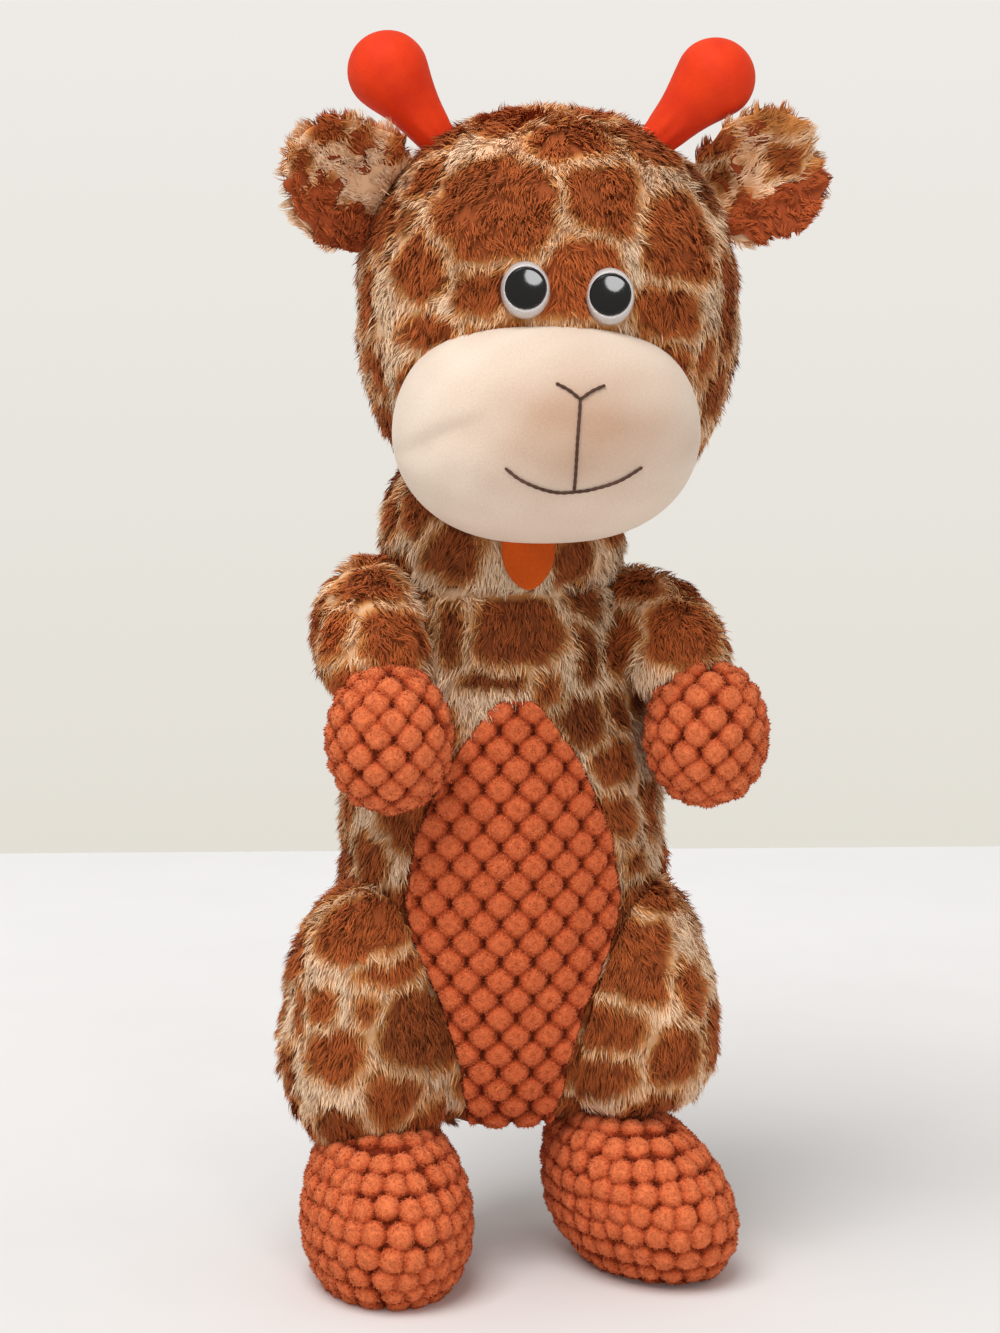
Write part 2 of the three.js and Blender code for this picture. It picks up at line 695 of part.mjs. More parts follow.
// Behind its widest line the torso nearly keeps that width here, so a thigh leaves it as it swings
const hipClear = stuffed({ ...torsoForm, halfDepth: torso.halfDepth * hipDepthShare }, seamGap)
  .subtract(beyond(torsoForm.middle, forward)).add(torsoClear);
for (const each of [rightSide, leftSide]) {
  const { name, side } = each;
  const thighForm = {
    ...thigh,
    middle: vector(side * (torso.halfWidth - each.thighIn), -each.thighForward, kneeHeight),
  };
  const footForm = {
    ...foot,
    rise: footRise,
    middle: vector(
      thighForm.middle.x - side * each.footIn, thighForm.middle.y - each.footForward, foot.swellHeight,
    ),
    turn: new THREE.Quaternion().setFromAxisAngle(up, side * each.toeOutTurn),
  };
  const thighHollow = stuffed(thighForm, -plushThickness, hiddenDetail).subtract(torsoWall);
  const footHollow = stuffed(footForm, -bubbleThickness, hiddenDetail).subtract(belowFloor(bubbleThickness));
  const hip = thighForm.middle.clone().add(vector(0, 0, thigh.rise));
  const legGroup = groupAt(toy, hip);
  add(legGroup, `${name}_thigh`, cut(
    stuffed(thighForm, 0, limbDetail), hipClear, thighHollow, footHollow,
  ), plush);
  add(legGroup, `${name}_foot`, cut(
    stuffed(footForm, 0, limbDetail),
    stuffed(thighForm, seamGap, limbDetail), footHollow, hipClear, belowFloor(0),
  ), bubble);
  const legFilling = stuffed(thighForm, -plushThickness - seamGap, hiddenDetail).subtract(torsoWallClear)
    .add(stuffed(footForm, -bubbleThickness - seamGap, hiddenDetail)
      .subtract(belowFloor(bubbleThickness + seamGap)));
  add(legGroup, `${name}_leg_filling`, legFilling.subtract(hipClear), fibre);
}

// The toy's origin is the middle of its box, on the floor
const box = new THREE.Box3().setFromObject(toy);
toy.position.set(-(box.min.x + box.max.x) / 2, -(box.min.y + box.max.y) / 2, -box.min.z);
toy.updateMatrixWorld(true);

export default toy;
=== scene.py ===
"""Plush giraffe: the finish of every cover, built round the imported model.

Every size is in millimetres until a mesh is made. The toy faces -Y and its own left side is +X.
"""

from __future__ import annotations

import json
import logging
import math
from abc import ABC, abstractmethod
from dataclasses import dataclass, field, replace
from enum import Enum
from typing import Callable, Sequence

import bpy
import numpy as np
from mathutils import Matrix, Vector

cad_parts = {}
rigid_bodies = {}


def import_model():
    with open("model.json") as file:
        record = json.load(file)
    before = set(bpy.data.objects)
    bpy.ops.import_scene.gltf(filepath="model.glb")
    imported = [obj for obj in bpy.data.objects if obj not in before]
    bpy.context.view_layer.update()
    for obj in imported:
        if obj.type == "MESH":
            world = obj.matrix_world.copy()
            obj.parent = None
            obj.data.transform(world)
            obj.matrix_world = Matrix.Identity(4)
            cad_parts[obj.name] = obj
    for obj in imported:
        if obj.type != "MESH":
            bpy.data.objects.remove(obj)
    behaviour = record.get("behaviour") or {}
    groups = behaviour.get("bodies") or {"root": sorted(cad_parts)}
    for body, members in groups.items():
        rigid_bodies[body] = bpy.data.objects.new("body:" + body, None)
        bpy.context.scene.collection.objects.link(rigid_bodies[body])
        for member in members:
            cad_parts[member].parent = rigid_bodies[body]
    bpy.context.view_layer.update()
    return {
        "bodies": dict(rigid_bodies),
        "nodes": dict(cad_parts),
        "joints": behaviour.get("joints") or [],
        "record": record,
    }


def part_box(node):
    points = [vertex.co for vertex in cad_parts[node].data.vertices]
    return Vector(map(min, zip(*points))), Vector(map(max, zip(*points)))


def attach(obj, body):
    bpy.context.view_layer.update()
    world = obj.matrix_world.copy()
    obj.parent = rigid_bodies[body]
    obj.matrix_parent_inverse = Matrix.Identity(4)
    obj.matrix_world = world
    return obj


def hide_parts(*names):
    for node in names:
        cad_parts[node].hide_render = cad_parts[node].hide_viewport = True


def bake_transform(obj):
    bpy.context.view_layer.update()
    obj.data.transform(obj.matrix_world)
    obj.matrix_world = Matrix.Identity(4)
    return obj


LOG = logging.getLogger("giraffe")
METRES = 0.001  # of a millimetre
PART = 20000  # points worked out at a time where each is set against many others
Array = np.ndarray
Tree = bpy.types.NodeTree
Nap = Callable[[Array, Array], Array]  # the way the pile is brushed at each root, from roots and normals
Keep = Callable[[Array], Array]  # which of the roots grow a hair
Blend = tuple[str, Array, Array]  # the other body, and where its hold ends and this body's is whole
Pair = Sequence[float]  # width and height on a flat map
Line = tuple[tuple[float, float], ...]  # places across and up or down
Spot = tuple[float, float, float, float, float]  # pixel across and down, half-width and half-height, tone


def linear(colour: str) -> tuple[float, float, float, float]:
    """Turn an sRGB hex colour into linear RGBA."""
    shares = [int(colour[start : start + 2], 16) / 255 for start in (1, 3, 5)]
    return (*[s / 12.92 if s <= 0.04045 else ((s + 0.055) / 1.055) ** 2.4 for s in shares], 1.0)


def unit(vectors: Array) -> Array:
    """Scale vectors to length one."""
    return vectors / np.maximum(np.linalg.norm(vectors, axis=-1, keepdims=True), 1e-9)


def smooth_step(low: float, high: float, value: Array) -> Array:
    """Rise from 0 at low to 1 at high along 3t^2 - 2t^3."""
    share = np.clip((value - low) / (high - low), 0.0, 1.0)
    return share * share * (3 - 2 * share)


class SoftNoise:
    """Seeded noise: the mean of sine waves of about one wavelength in random directions."""

    def __init__(self, seed: int, size: float, waves: int = 9) -> None:
        """Draw the waves.

        Args:
            seed: Seed of the random draws.
            size: Typical wavelength in millimetres.
            waves: Number of sine waves.
        """
        rng = np.random.default_rng(seed)
        aims = unit(rng.normal(size=(waves, 3)))
        self.waves = aims * (2 * math.pi / (size * rng.uniform(0.7, 1.5, waves)))[:, None]
        self.phases = rng.uniform(0, 2 * math.pi, waves)

    def at(self, points: Array) -> Array:
        """Give the noise at points, mostly between -1 and 1."""
        return 2 * np.sin(points @ self.waves.T + self.phases).mean(axis=1)


def soft_shift(seed: int, size: float, points: Array) -> Array:
    """Give a noise vector at each point, from three seeds in a row."""
    return np.stack([SoftNoise(seed + part, size).at(points) for part in range(3)], axis=1)


def flattened(vectors: Array, normals: Array) -> Array:
    """Take away what runs along the normals: v - (v . n) n."""
    return vectors - (vectors * normals).sum(1, keepdims=True) * normals


def lengths_along(points: Array) -> Array:
    """Give the length of a line of points from its start to each of them."""
    return np.r_[0, np.cumsum(np.linalg.norm(np.diff(points, axis=0), axis=1))]


def round_turns(sides: int) -> Array:
    """Give the angles of even steps once round, in radians."""
    return 2 * math.pi * np.arange(sides) / sides


@dataclass(frozen=True)
class Form:
    """A stuffed form whose level rings swell from a closed bottom to a closed top.

    A ring at height share s has round = sqrt(1 - s^2). Its half-width is half_width times
    round to the power of full, and its half-depth likewise. The form may lean back towards
    its top by top_back times s^2, lean sideways by side_lean times s, and cup its edges
    forwards by cup times the square of the share across.
    """

    middle: Array
    half_width: float
    half_depth: float
    rise: float
    drop: float
    top_full: float = 1.0
    bottom_full: float = 1.0
    top_deep_full: float | None = None
    bottom_deep_full: float | None = None
    top_back: float = 0.0
    side_lean: float = 0.0
    cup: float = 0.0
    turn: Array = field(default_factory=lambda: np.eye(3))

    def level(self, share: Array) -> tuple[Array, Array]:
        """Give a ring's half-width and half-depth as shares of the largest.

        Args:
            share: Height share of the ring, -1 at the bottom to 1 at the top.

        Returns:
            The shares across and deep.
        """
        round_ = np.sqrt(np.clip(1 - share**2, 0, 1))
        deep = self.top_full if self.top_deep_full is None else self.top_deep_full
        low_deep = self.bottom_full if self.bottom_deep_full is None else self.bottom_deep_full
        across = round_ ** np.where(share > 0, self.top_full, self.bottom_full)
        return across, round_ ** np.where(share > 0, deep, low_deep)

    def place(self, angle: Array, turn: Array, grow: float | Array = 0.0) -> Array:
        """Give surface points.

        Args:
            angle: Angle from the lowest ring to the highest, -90 to 90 degrees, in radians.
            turn: Angle round the ring, from the toy's left towards its back, in radians.
            grow: How far the whole surface moves out.

        Returns:
            Points as rows.
        """
        share = np.sin(angle)
        across, deep = self.level(share)
        wide = across * np.cos(turn)
        lean = self.top_back * np.maximum(share, 0) ** 2 - self.cup * wide**2
        reach = np.where(share > 0, self.rise, self.drop) + grow
        x = (self.half_width + grow) * wide + self.side_lean * share
        local = np.stack([x, (self.half_depth + grow) * deep * np.sin(turn) + lean, reach * share], axis=-1)
        return local @ self.turn.T + self.middle

    def fullness(self, points: Array, grow: float = 0.0) -> Array:
        """Say where points lie: below 1 inside the form, above 1 outside it.

        Args:
            points: The points as rows.
            grow: How far the whole surface moves out.

        Returns:
            The square of the share across plus the square of the share deep, on each point's ring.
        """
        local = (points - self.middle) @ self.turn
        reach = np.where(local[:, 2] > 0, self.rise, self.drop) + grow
        share = local[:, 2] / reach
        across, deep = self.level(np.clip(share, -0.9999, 0.9999))
        wide = (local[:, 0] - self.side_lean * share) / (self.half_width + grow)
        lean = self.top_back * np.clip(share, 0, 1) ** 2 - self.cup * np.clip(wide, -1, 1) ** 2
        depth = (local[:, 1] - lean) / (self.half_depth + grow)
        inside = (wide / across) ** 2 + (depth / deep) ** 2
        return np.where(np.abs(share) < 1, inside, 10 * np.abs(share))

    def front(self, x: Array, z: Array, grow: float = 0.0) -> Array:
        """Give the points of the front at places across and up, for a form that isn't turned.

        Args:
            x: Places across.
            z: Heights.
            grow: How far the whole surface moves out.

        Returns:
            Points as rows.
        """
        above = z - self.middle[2]
        share = np.clip(above / (np.where(above > 0, self.rise, self.drop) + grow), -0.999, 0.999)
        across, deep = self.level(share)
        wide = (x - self.middle[0]) / ((self.half_width + grow) * across)
        depth = (self.half_depth + grow) * deep * np.sqrt(np.clip(1 - wide**2, 0, 1))
        return np.stack([x, self.middle[1] - depth, z], axis=-1)

    def even_angles(self, rings: int) -> Array:
        """Give ring angles that step evenly along the form's outline.

        Args:
            rings: How many steps.

        Returns:
            The angles in radians, from the bottom to the top.
        """
        share = np.linspace(-1, 1, 4001)
        angle = np.sign(share) * (1 - (1 - np.abs(share)) ** 3) * math.pi / 2
        points = self.place(angle, np.zeros_like(angle))
        lengths = lengths_along(points)
        return np.interp(np.linspace(0, lengths[-1], rings + 1), lengths, angle)


def ball(middle: Array, radius: float) -> Form:
    """Give a round form."""
    return Form(middle, radius, radius, radius, radius)


def turned_to(aim: Array, start: Array) -> Array:
    """Give the rotation matrix that turns start to aim by the shortest way.

    Args:
        aim: A way of length one.
        start: Another.

    Returns:
        The matrix 1 + c + c c / (1 + start . aim), with c their cross product's.
    """
    axis = np.cross(start, aim)
    cross = np.array([[0, -axis[2], axis[1]], [axis[2], 0, -axis[0]], [-axis[1], axis[0], 0]])
    return np.eye(3) + cross + cross @ cross / (1 + float(start @ aim))


def turned_about(axis: Sequence[float], angle: float) -> Array:
    """Give the rotation matrix about an axis of length one, by Rodrigues' formula.

    Args:
        axis: The axis.
        angle: The angle in radians.

    Returns:
        The matrix 1 + sin(angle) c + (1 - cos(angle)) c c.
    """
    x, y, z = axis
    cross = np.array([[0.0, -z, y], [z, 0.0, -x], [-y, x, 0.0]])
    return np.eye(3) + math.sin(angle) * cross + (1 - math.cos(angle)) * cross @ cross


@dataclass
class Cover:
    """A sewn cover drawn over a form, with soft wrinkles, cut back where its neighbours press.

    Points that lie inside a neighbour move towards the anchor, a place inside this cover and
    outside its neighbours, until they are clear of it.
    """

    form: Form
    neighbours: Sequence[Form] = ()
    anchor: Array | None = None
    gap: float = 0.4
    wrinkle: float = 0.8
    wrinkle_size: float = 26.0
    ceiling: float | None = None
    floor: float | None = None
    seed: int = 1
    halvings: int = 14  # steps of the search for a neighbour's surface

    def at(self, angle: Array, turn: Array, grow: float | Array = 0.0) -> Array:
        """Give points of the cover, grown outwards by grow.

        Args:
            angle: Angles from the lowest ring to the highest, in radians.
            turn: Angles round the ring.
            grow: How far the cover moves out, beside its wrinkles.

        Returns:
            Points as rows.
        """
        noise = SoftNoise(self.seed, self.wrinkle_size)
        base = self.form.place(angle, turn)
        points = self.form.place(angle, turn, grow + self.wrinkle * (noise.at(base) - 0.6))
        return self.clear(points, float(np.mean(grow)))

    def clear(self, points: Array, grow: float = 0.0) -> Array:
        """Move points out of the neighbours, below the ceiling and above the floor.

        Args:
            points: The points as rows.
            grow: How far inside the cover they lie, below 0.

        Returns:
            The moved points.
        """
        inward = min(grow, 0.0)
        for neighbour in self.neighbours:
            inside = np.flatnonzero(neighbour.fullness(points, self.gap - inward) < 1)
            if not len(inside):
                continue
            far, near = points[inside], np.broadcast_to(self.anchor, (len(inside), 3))
            low, high = np.zeros(len(inside)), np.ones(len(inside))
            for _ in range(self.halvings):
                middle = (low + high) / 2
                hit = neighbour.fullness(near + (far - near) * middle[:, None], self.gap - inward) < 1
                low, high = np.where(hit, low, middle), np.where(hit, middle, high)
            points[inside] = near + (far - near) * low[:, None]
        if self.ceiling is not None:
            points[:, 2] = np.minimum(points[:, 2], self.ceiling + inward)
        if self.floor is not None:
            points[:, 2] = np.maximum(points[:, 2], self.floor - inward)
        return points

    def frames(self, angle: Array, turn: Array) -> tuple[Array, Array, Array, Array, Array, Array]:
        """Give points, outward normals, and the unit ways up and across with millimetres a radian.

        Args:
            angle: Angles from the lowest ring to the highest, in radians.
            turn: Angles round the ring.

        Returns:
            Points, normals, ways up, ways across, and the millimetres of a radian up and across.
        """
        step = 2e-3
        points = self.at(angle, turn)
        upward = (self.at(angle + step, turn) - self.at(angle - step, turn)) / (2 * step)
        across = (self.at(angle, turn + step) - self.at(angle, turn - step)) / (2 * step)
        long_up = np.linalg.norm(upward, axis=1)
        long_across = np.linalg.norm(across, axis=1)
        normals = unit(np.cross(across, upward))
        flat = np.linalg.norm(np.cross(across, upward), axis=1) < 1e-6
        normals[flat] = unit(points[flat] - self.form.middle)
        return points, normals, unit(upward), unit(across), long_up, long_across

    def scatter(self, count: int, rng: np.random.Generator) -> tuple[Array, Array, float]:
        """Draw places evenly by area.

        Args:
            count: How many places.
            rng: The seeded generator.

        Returns:
            Ring angles, turns, and the cover's area in square millimetres.
        """
        angles, turns = self.form.even_angles(90), np.linspace(0, 2 * math.pi, 121)
        grid_a, grid_t = np.meshgrid(angles, turns, indexing="ij")
        points = self.at(grid_a.ravel(), grid_t.ravel()).reshape(*grid_a.shape, 3)
        side, rise = points[:-1, 1:] - points[:-1, :-1], points[1:, :-1] - points[:-1, :-1]
        area = np.linalg.norm(np.cross(side, rise), axis=-1).ravel()
        picked = rng.choice(len(area), size=count, p=area / area.sum())
        row, column = np.divmod(picked, len(turns) - 1)
        angle = angles[row] + rng.random(count) * (angles[row + 1] - angles[row])
        turn = turns[column] + rng.random(count) * (turns[1] - turns[0])
        return angle, turn, float(area.sum())


@dataclass
class Surface:
    """The arrays of one mesh: points, faces of three or four corners, and values."""

    points: Array
    quads: Array = field(default_factory=lambda: np.zeros((0, 4), int))
    triangles: Array = field(default_factory=lambda: np.zeros((0, 3), int))
    quad_places: Array | None = None
    triangle_places: Array | None = None
    values: dict[str, Array] = field(default_factory=dict)
    normals: Array | None = None

    def joined(self, other: Surface) -> Surface:
        """Join another surface on behind this one. Only values that both have are kept.

        Args:
            other: The other surface.

        Returns:
            Both in one.
        """
        moved = len(self.points)

        def both(mine: Array | None, theirs: Array | None) -> Array | None:
            """Join two arrays, if neither is missing."""
            return None if mine is None or theirs is None else np.concatenate([mine, theirs])

        return Surface(
            np.concatenate([self.points, other.points]),
            np.concatenate([self.quads, other.quads + moved]),
            np.concatenate([self.triangles, other.triangles + moved]),
            both(self.quad_places, other.quad_places),
            both(self.triangle_places, other.triangle_places),
            {name: both(self.values[name], other.values[name]) for name in self.values if name in other.values},
            both(self.normals, other.normals),
        )

    def reversed(self) -> Surface:
        """Turn the faces round, for an inner wall.

        Returns:
            The surface with its faces the other way.
        """
        return replace(
            self,
            quads=self.quads[:, ::-1],
            triangles=self.triangles[:, ::-1],
            quad_places=None if self.quad_places is None else self.quad_places[:, ::-1],
            triangle_places=None if self.triangle_places is None else self.triangle_places[:, ::-1],
        )


def corner_places(*corners: tuple[Array, Array]) -> Array:
    """Stack the corners of faces, each given as its places across and up a flat map."""
    return np.stack([np.stack(corner, 1) for corner in corners], 1)


def flat_cells(count: int, *shapes: Sequence[tuple[float, float]]) -> list[Array]:
    """Give each of many small strands a square cell of its own on the flat map.

    Args:
        count: How many strands there are.
        shapes: For each kind of face that a strand has, its corners in a cell, from 0 to 1.

    Returns:
        For each kind of face, the corners' places as strand, corner, place.
    """
    columns = math.ceil(math.sqrt(count))
    row, column = np.divmod(np.arange(count), columns)
    cell = np.stack([column, row], axis=1) / columns
    return [cell[:, None, :] + np.array(shape) / columns for shape in shapes]


def closed_grid(rings: int, sides: int) -> tuple[Array, Array, Array, Array]:
    """Give the faces of a closed form whose rings close at two poles.

    The lower pole is point 0, ring r has points 1 + (r - 1) * sides onwards, and the upper
    pole is the last point.

    Args:
        rings: Steps from pole to pole.
        sides: Points of a ring.

    Returns:
        Quads, triangles, and the place of each of their corners on a flat map.
    """
    ring, side = np.divmod(np.arange((rings - 2) * sides), sides)
    ring += 1
    following = (side + 1) % sides
    low, high = 1 + (ring - 1) * sides, 1 + ring * sides
    quads = np.stack([low + side, low + following, high + following, high + side], axis=1)
    u0, u1, v0, v1 = side / sides, (side + 1) / sides, ring / rings, (ring + 1) / rings
    quad_places = corner_places((u0, v0), (u1, v0), (u1, v1), (u0, v1))
    turn = np.arange(sides)
    following = (turn + 1) % sides
    top = 1 + (rings - 1) * sides
    last = top - sides
    at_foot = np.stack([np.zeros(sides, int), 1 + following, 1 + turn], axis=1)
    at_head = np.stack([last + turn, last + following, np.full(sides, top)], axis=1)
    t0, t1, tm = turn / sides, (turn + 1) / sides, (turn + 0.5) / sides
    foot, head = np.full(sides, 1 / rings), np.full(sides, 1 - 1 / rings)
    foot_places = corner_places((tm, 0 * tm), (t1, foot), (t0, foot))
    head_places = corner_places((t0, head), (t1, head), (tm, 0 * tm + 1))
    triangles, places = np.concatenate([at_foot, at_head]), np.concatenate([foot_places, head_places])
    return quads, triangles, quad_places, places


def grid_params(form: Form, rings: int, sides: int) -> tuple[Array, Array]:
    """Give the ring angle and turn of each point of a closed grid, poles included.

    Args:
        form: The form under it.
        rings: Steps from pole to pole.
        sides: Points of a ring.

    Returns:
        The angles and the turns, in radians.
    """
    angles = form.even_angles(rings)
    ring_angle, ring_turn = np.meshgrid(angles[1:-1], round_turns(sides), indexing="ij")
    angle = np.r_[angles[0] + 1e-4, ring_angle.ravel(), angles[-1] - 1e-4]
    return angle, np.r_[0.0, ring_turn.ravel(), 0.0]


def cover_surface(cover: Cover, rings: int, sides: int, grow: float = 0.0) -> Surface:
    """Lay a closed grid over a cover.

    Args:
        cover: The cover.
        rings: Steps from pole to pole.
        sides: Points of a ring.
        grow: How far the grid lies outside the cover.

    Returns:
        The surface.
    """
    angle, turn = grid_params(cover.form, rings, sides)
    quads, triangles, quad_places, triangle_places = closed_grid(rings, sides)
    return Surface(cover.at(angle, turn, grow), quads, triangles, quad_places, triangle_places)


def hollow(cover: Cover, rings: int, sides: int, thickness: float) -> Surface:
    """Give a cover with an inner wall, so that it is a bag and not a block.

    Args:
        cover: The cover.
        rings: Steps from pole to pole.
        sides: Points of a ring.
        thickness: How far in the inner wall lies, which has a third of the rings and sides.

    Returns:
        The surface.
    """
    outer = cover_surface(cover, rings, sides)
    inner = cover_surface(cover, rings // 3, sides // 3, -thickness).reversed()
    inner.quad_places, inner.triangle_places = inner.quad_places * 0.02, inner.triangle_places * 0.02
    return outer.joined(inner)


def stacked_rings(rings: Array, foot: Array, head: Array) -> Surface:
    """Close a stack of rings with a point at either end.

    Args:
        rings: Points of each ring, as ring, side, place. Seen from the head they run
            anticlockwise.
        foot: The first end.
        head: The last end.

    Returns:
        The surface, with a flat map of side across and ring up.
    """
    count, sides = rings.shape[:2]
    quads, triangles, quad_places, triangle_places = closed_grid(count + 1, sides)
    points = np.concatenate([foot[None], rings.reshape(-1, 3), head[None]])
    return Surface(points, quads, triangles, quad_places, triangle_places)


def turned_piece(profile: Array, sides: int, place: Array, axis: Array, wide: Array) -> Surface:
    """Turn a profile about an axis.

    Args:
        profile: Rows of radius and height. The first and last lie on the axis.
        sides: Points of a ring.
        place: Where height 0 lies.
        axis: The way up the axis.
        wide: A way across it.

    Returns:
        The surface.
    """
    turn = round_turns(sides)
    ring = np.cos(turn)[:, None] * wide + np.sin(turn)[:, None] * np.cross(axis, wide)
    rings = place + profile[1:-1, 0, None, None] * ring + profile[1:-1, 1, None, None] * axis
    return stacked_rings(rings, place + profile[0, 1] * axis, place + profile[-1, 1] * axis)


def smooth_line(points: Array, count: int) -> Array:
    """Run a Catmull-Rom curve through points, with count even steps of its parameter.

    Args:
        points: The points as rows.
        count: How many points the curve gets.

    Returns:
        The curve's points.
    """
    padded = np.concatenate([[2 * points[0] - points[1]], points, [2 * points[-1] - points[-2]]])
    along = np.linspace(0, len(points) - 1, count)
    piece = np.minimum(along.astype(int), len(points) - 2)
    t = (along - piece)[:, None]
    a, b, c, d = (padded[piece + i] for i in range(4))
    return 0.5 * (2 * b + (c - a) * t + (2 * a - 5 * b + 4 * c - d) * t**2 + (3 * b - a - 3 * c + d) * t**3)


def thread_tube(path: Array, normals: Array, radius: float, ply_pitch: float, sides: int = 12) -> Surface:
    """Lay a two-ply thread along a path.

    The ring's radius swells by a sixth twice round it, and the swellings wind once along each
    ply pitch.

    Args:
        path: The thread's middle line.
        normals: The ways out of the cloth along it.
        radius: Half of the thread's thickness.
        ply_pitch: Length of one wind.
        sides: Points of a ring.

    Returns:
        The surface.
    """
    along = unit(np.gradient(path, axis=0))
    across = unit(np.cross(along, normals))
    upward = np.cross(across, along)
    length = lengths_along(path)
    turn = round_turns(sides)
    swell = 1 + np.cos(2 * turn[None] - 2 * math.pi * length[:, None] / ply_pitch) / 6
    taper = np.clip(np.minimum(length, length[-1] - length) / radius + 0.35, 0, 1)
    reach = (radius * swell * taper[:, None])[..., None]
    ways = np.cos(turn)[None, :, None] * across[:, None] - np.sin(turn)[None, :, None] * upward[:, None]
    rings, tip = path[:, None] + reach * ways, radius * 0.4
    return stacked_rings(rings[:, ::-1], path[0] - along[0] * tip, path[-1] + along[-1] * tip)


def put_mesh(name: str, surface: Surface, material: bpy.types.Material) -> bpy.types.Object:
    """Make a mesh object at the origin from arrays in millimetres.

    Args:
        name: Name of the object.
        surface: Its arrays.
        material: Its finish.

    Returns:
        The object, linked to the scene.
    """
    mesh = bpy.data.meshes.new(name)
    corners = np.r_[surface.quads.ravel(), surface.triangles.ravel()]
    totals = np.r_[np.full(len(surface.quads), 4), np.full(len(surface.triangles), 3)]
    mesh.vertices.add(len(surface.points))
    mesh.vertices.foreach_set("co", (surface.points * METRES).astype(np.float32).ravel())
    mesh.loops.add(len(corners))
    mesh.loops.foreach_set("vertex_index", corners.astype(np.int32))
    mesh.polygons.add(len(totals))
    mesh.polygons.foreach_set("loop_start", np.r_[0, np.cumsum(totals)[:-1]].astype(np.int32))
    mesh.update(calc_edges=True)
    mesh.polygons.foreach_set("use_smooth", np.ones(len(totals), bool))
    if surface.quad_places is not None or surface.triangle_places is not None:
        both = (surface.quad_places, surface.triangle_places)
        parts = [places.reshape(-1, 2) for places in both if places is not None]
        layer = mesh.uv_layers.new(name="OFBake")
        layer.data.foreach_set("uv", np.concatenate(parts).astype(np.float32).ravel())
    for label, value in surface.values.items():
        attribute = mesh.attributes.new(label, "FLOAT", "POINT")
        attribute.data.foreach_set("value", value.astype(np.float32))
    mesh.materials.append(material)
    if surface.normals is not None:
        mesh.normals_split_custom_set_from_vertices(surface.normals.astype(np.float32))
    thing = bpy.data.objects.new(name, mesh)
    bpy.context.scene.collection.objects.link(thing)
    return thing


def place_thing(name: str, data: bpy.types.ID, axes: Sequence[Array], place: Array) -> bpy.types.Object:
    """Put a camera or lamp in the scene.

    Args:
        name: Its name.
        data: Its data.
        axes: Its ways right, up and back.
        place: Its place in metres.

    Returns:
        The object.
    """
    thing = bpy.data.objects.new(name, data)
    bpy.context.scene.collection.objects.link(thing)
    matrix = np.eye(4)
    for column, part in enumerate((*axes, place)):
        matrix[:3, column] = part
    thing.matrix_world = matrix.T.tolist()
    return thing


# Finishes

Socket = bpy.types.NodeSocket
COLOURS = {"data_type": "RGBA"}  # a Mix node of colours: sockets 0 share, 6 first and 7 second, output 2
TIMES = {"data_type": "RGBA", "blend_type": "MULTIPLY"}


def add_node(
    tree: Tree,
    kind: str,
    inputs: dict[str | int, object] | Sequence[object] = (),
    output: str | int = 0,
    **settings: object,
) -> Socket | None:
    """Add a node with its settings, values and links.

    Args:
        tree: The node tree.
        kind: Blender's name for the node's type, after ShaderNode.
        inputs: Values, or sockets to link, by the input's name or number, or in the inputs' order.
        output: Name or number of the output to give.
        settings: Attributes of the node.

    Returns:
        That output, or None where the node has none.
    """
    node = tree.nodes.new("ShaderNode" + kind)
    for name, value in settings.items():
        setattr(node, name, value)
    for key, value in inputs.items() if isinstance(inputs, dict) else enumerate(inputs):
        if isinstance(value, Socket):
            tree.links.new(value, node.inputs[key])
        else:
            node.inputs[key].default_value = value
    return node.outputs[output] if node.outputs else None


class Finish(ABC):
    """A real finish, made as a node material."""

    @abstractmethod
    def skin(self, tree: Tree) -> dict[str, object]:
        """Add the pattern's nodes and give the surface shader's inputs by name."""

    def make(self, name: str) -> bpy.types.Material:
        """Build the material.

        Args:
            name: The finish's common name.

        Returns:
            The material.
        """
        material = bpy.data.materials.new(name)
        material.use_nodes = True
        tree = material.node_tree
        tree.nodes.clear()
        add_node(tree, "OutputMaterial", {"Surface": add_node(tree, "BsdfPrincipled", self.skin(tree))})
        return material


@dataclass(frozen=True)
class Grain:
    """Fine grain: noise on the piece's own coordinates, which mottles its colour and raises its skin."""

    size: float  # width of a grain in millimetres
    detail: float
    light: tuple[float, float]  # how dark and how light it makes the colour
    depth: float = 0.0  # height of a grain in millimetres
    strength: float = 1.0

    def over(self, tree: Tree, colour: Socket | Sequence[float]) -> dict[str, Socket]:
        """Lay the grain over a colour.

        Args:
            tree: The node tree.
            colour: The colour, as a socket or as linear RGBA.

        Returns:
            The shader's colour and, for a raised grain, its normal.
        """
        spots = {"Vector": add_node(tree, "TexCoord", output="Object"), "Scale": 1 / (self.size * METRES)}
        noise = add_node(tree, "TexNoise", spots | {"Detail": self.detail}, "Fac")
        light = add_node(tree, "MapRange", [noise, 0.3, 0.7, *self.light])
        skin = {"Base Color": add_node(tree, "Mix", {0: 1.0, 6: colour, 7: light}, 2, **TIMES)}
        if self.depth:
            bump = {"Height": noise, "Distance": self.depth * METRES, "Strength": self.strength}
            skin["Normal"] = add_node(tree, "Bump", bump)
        return skin


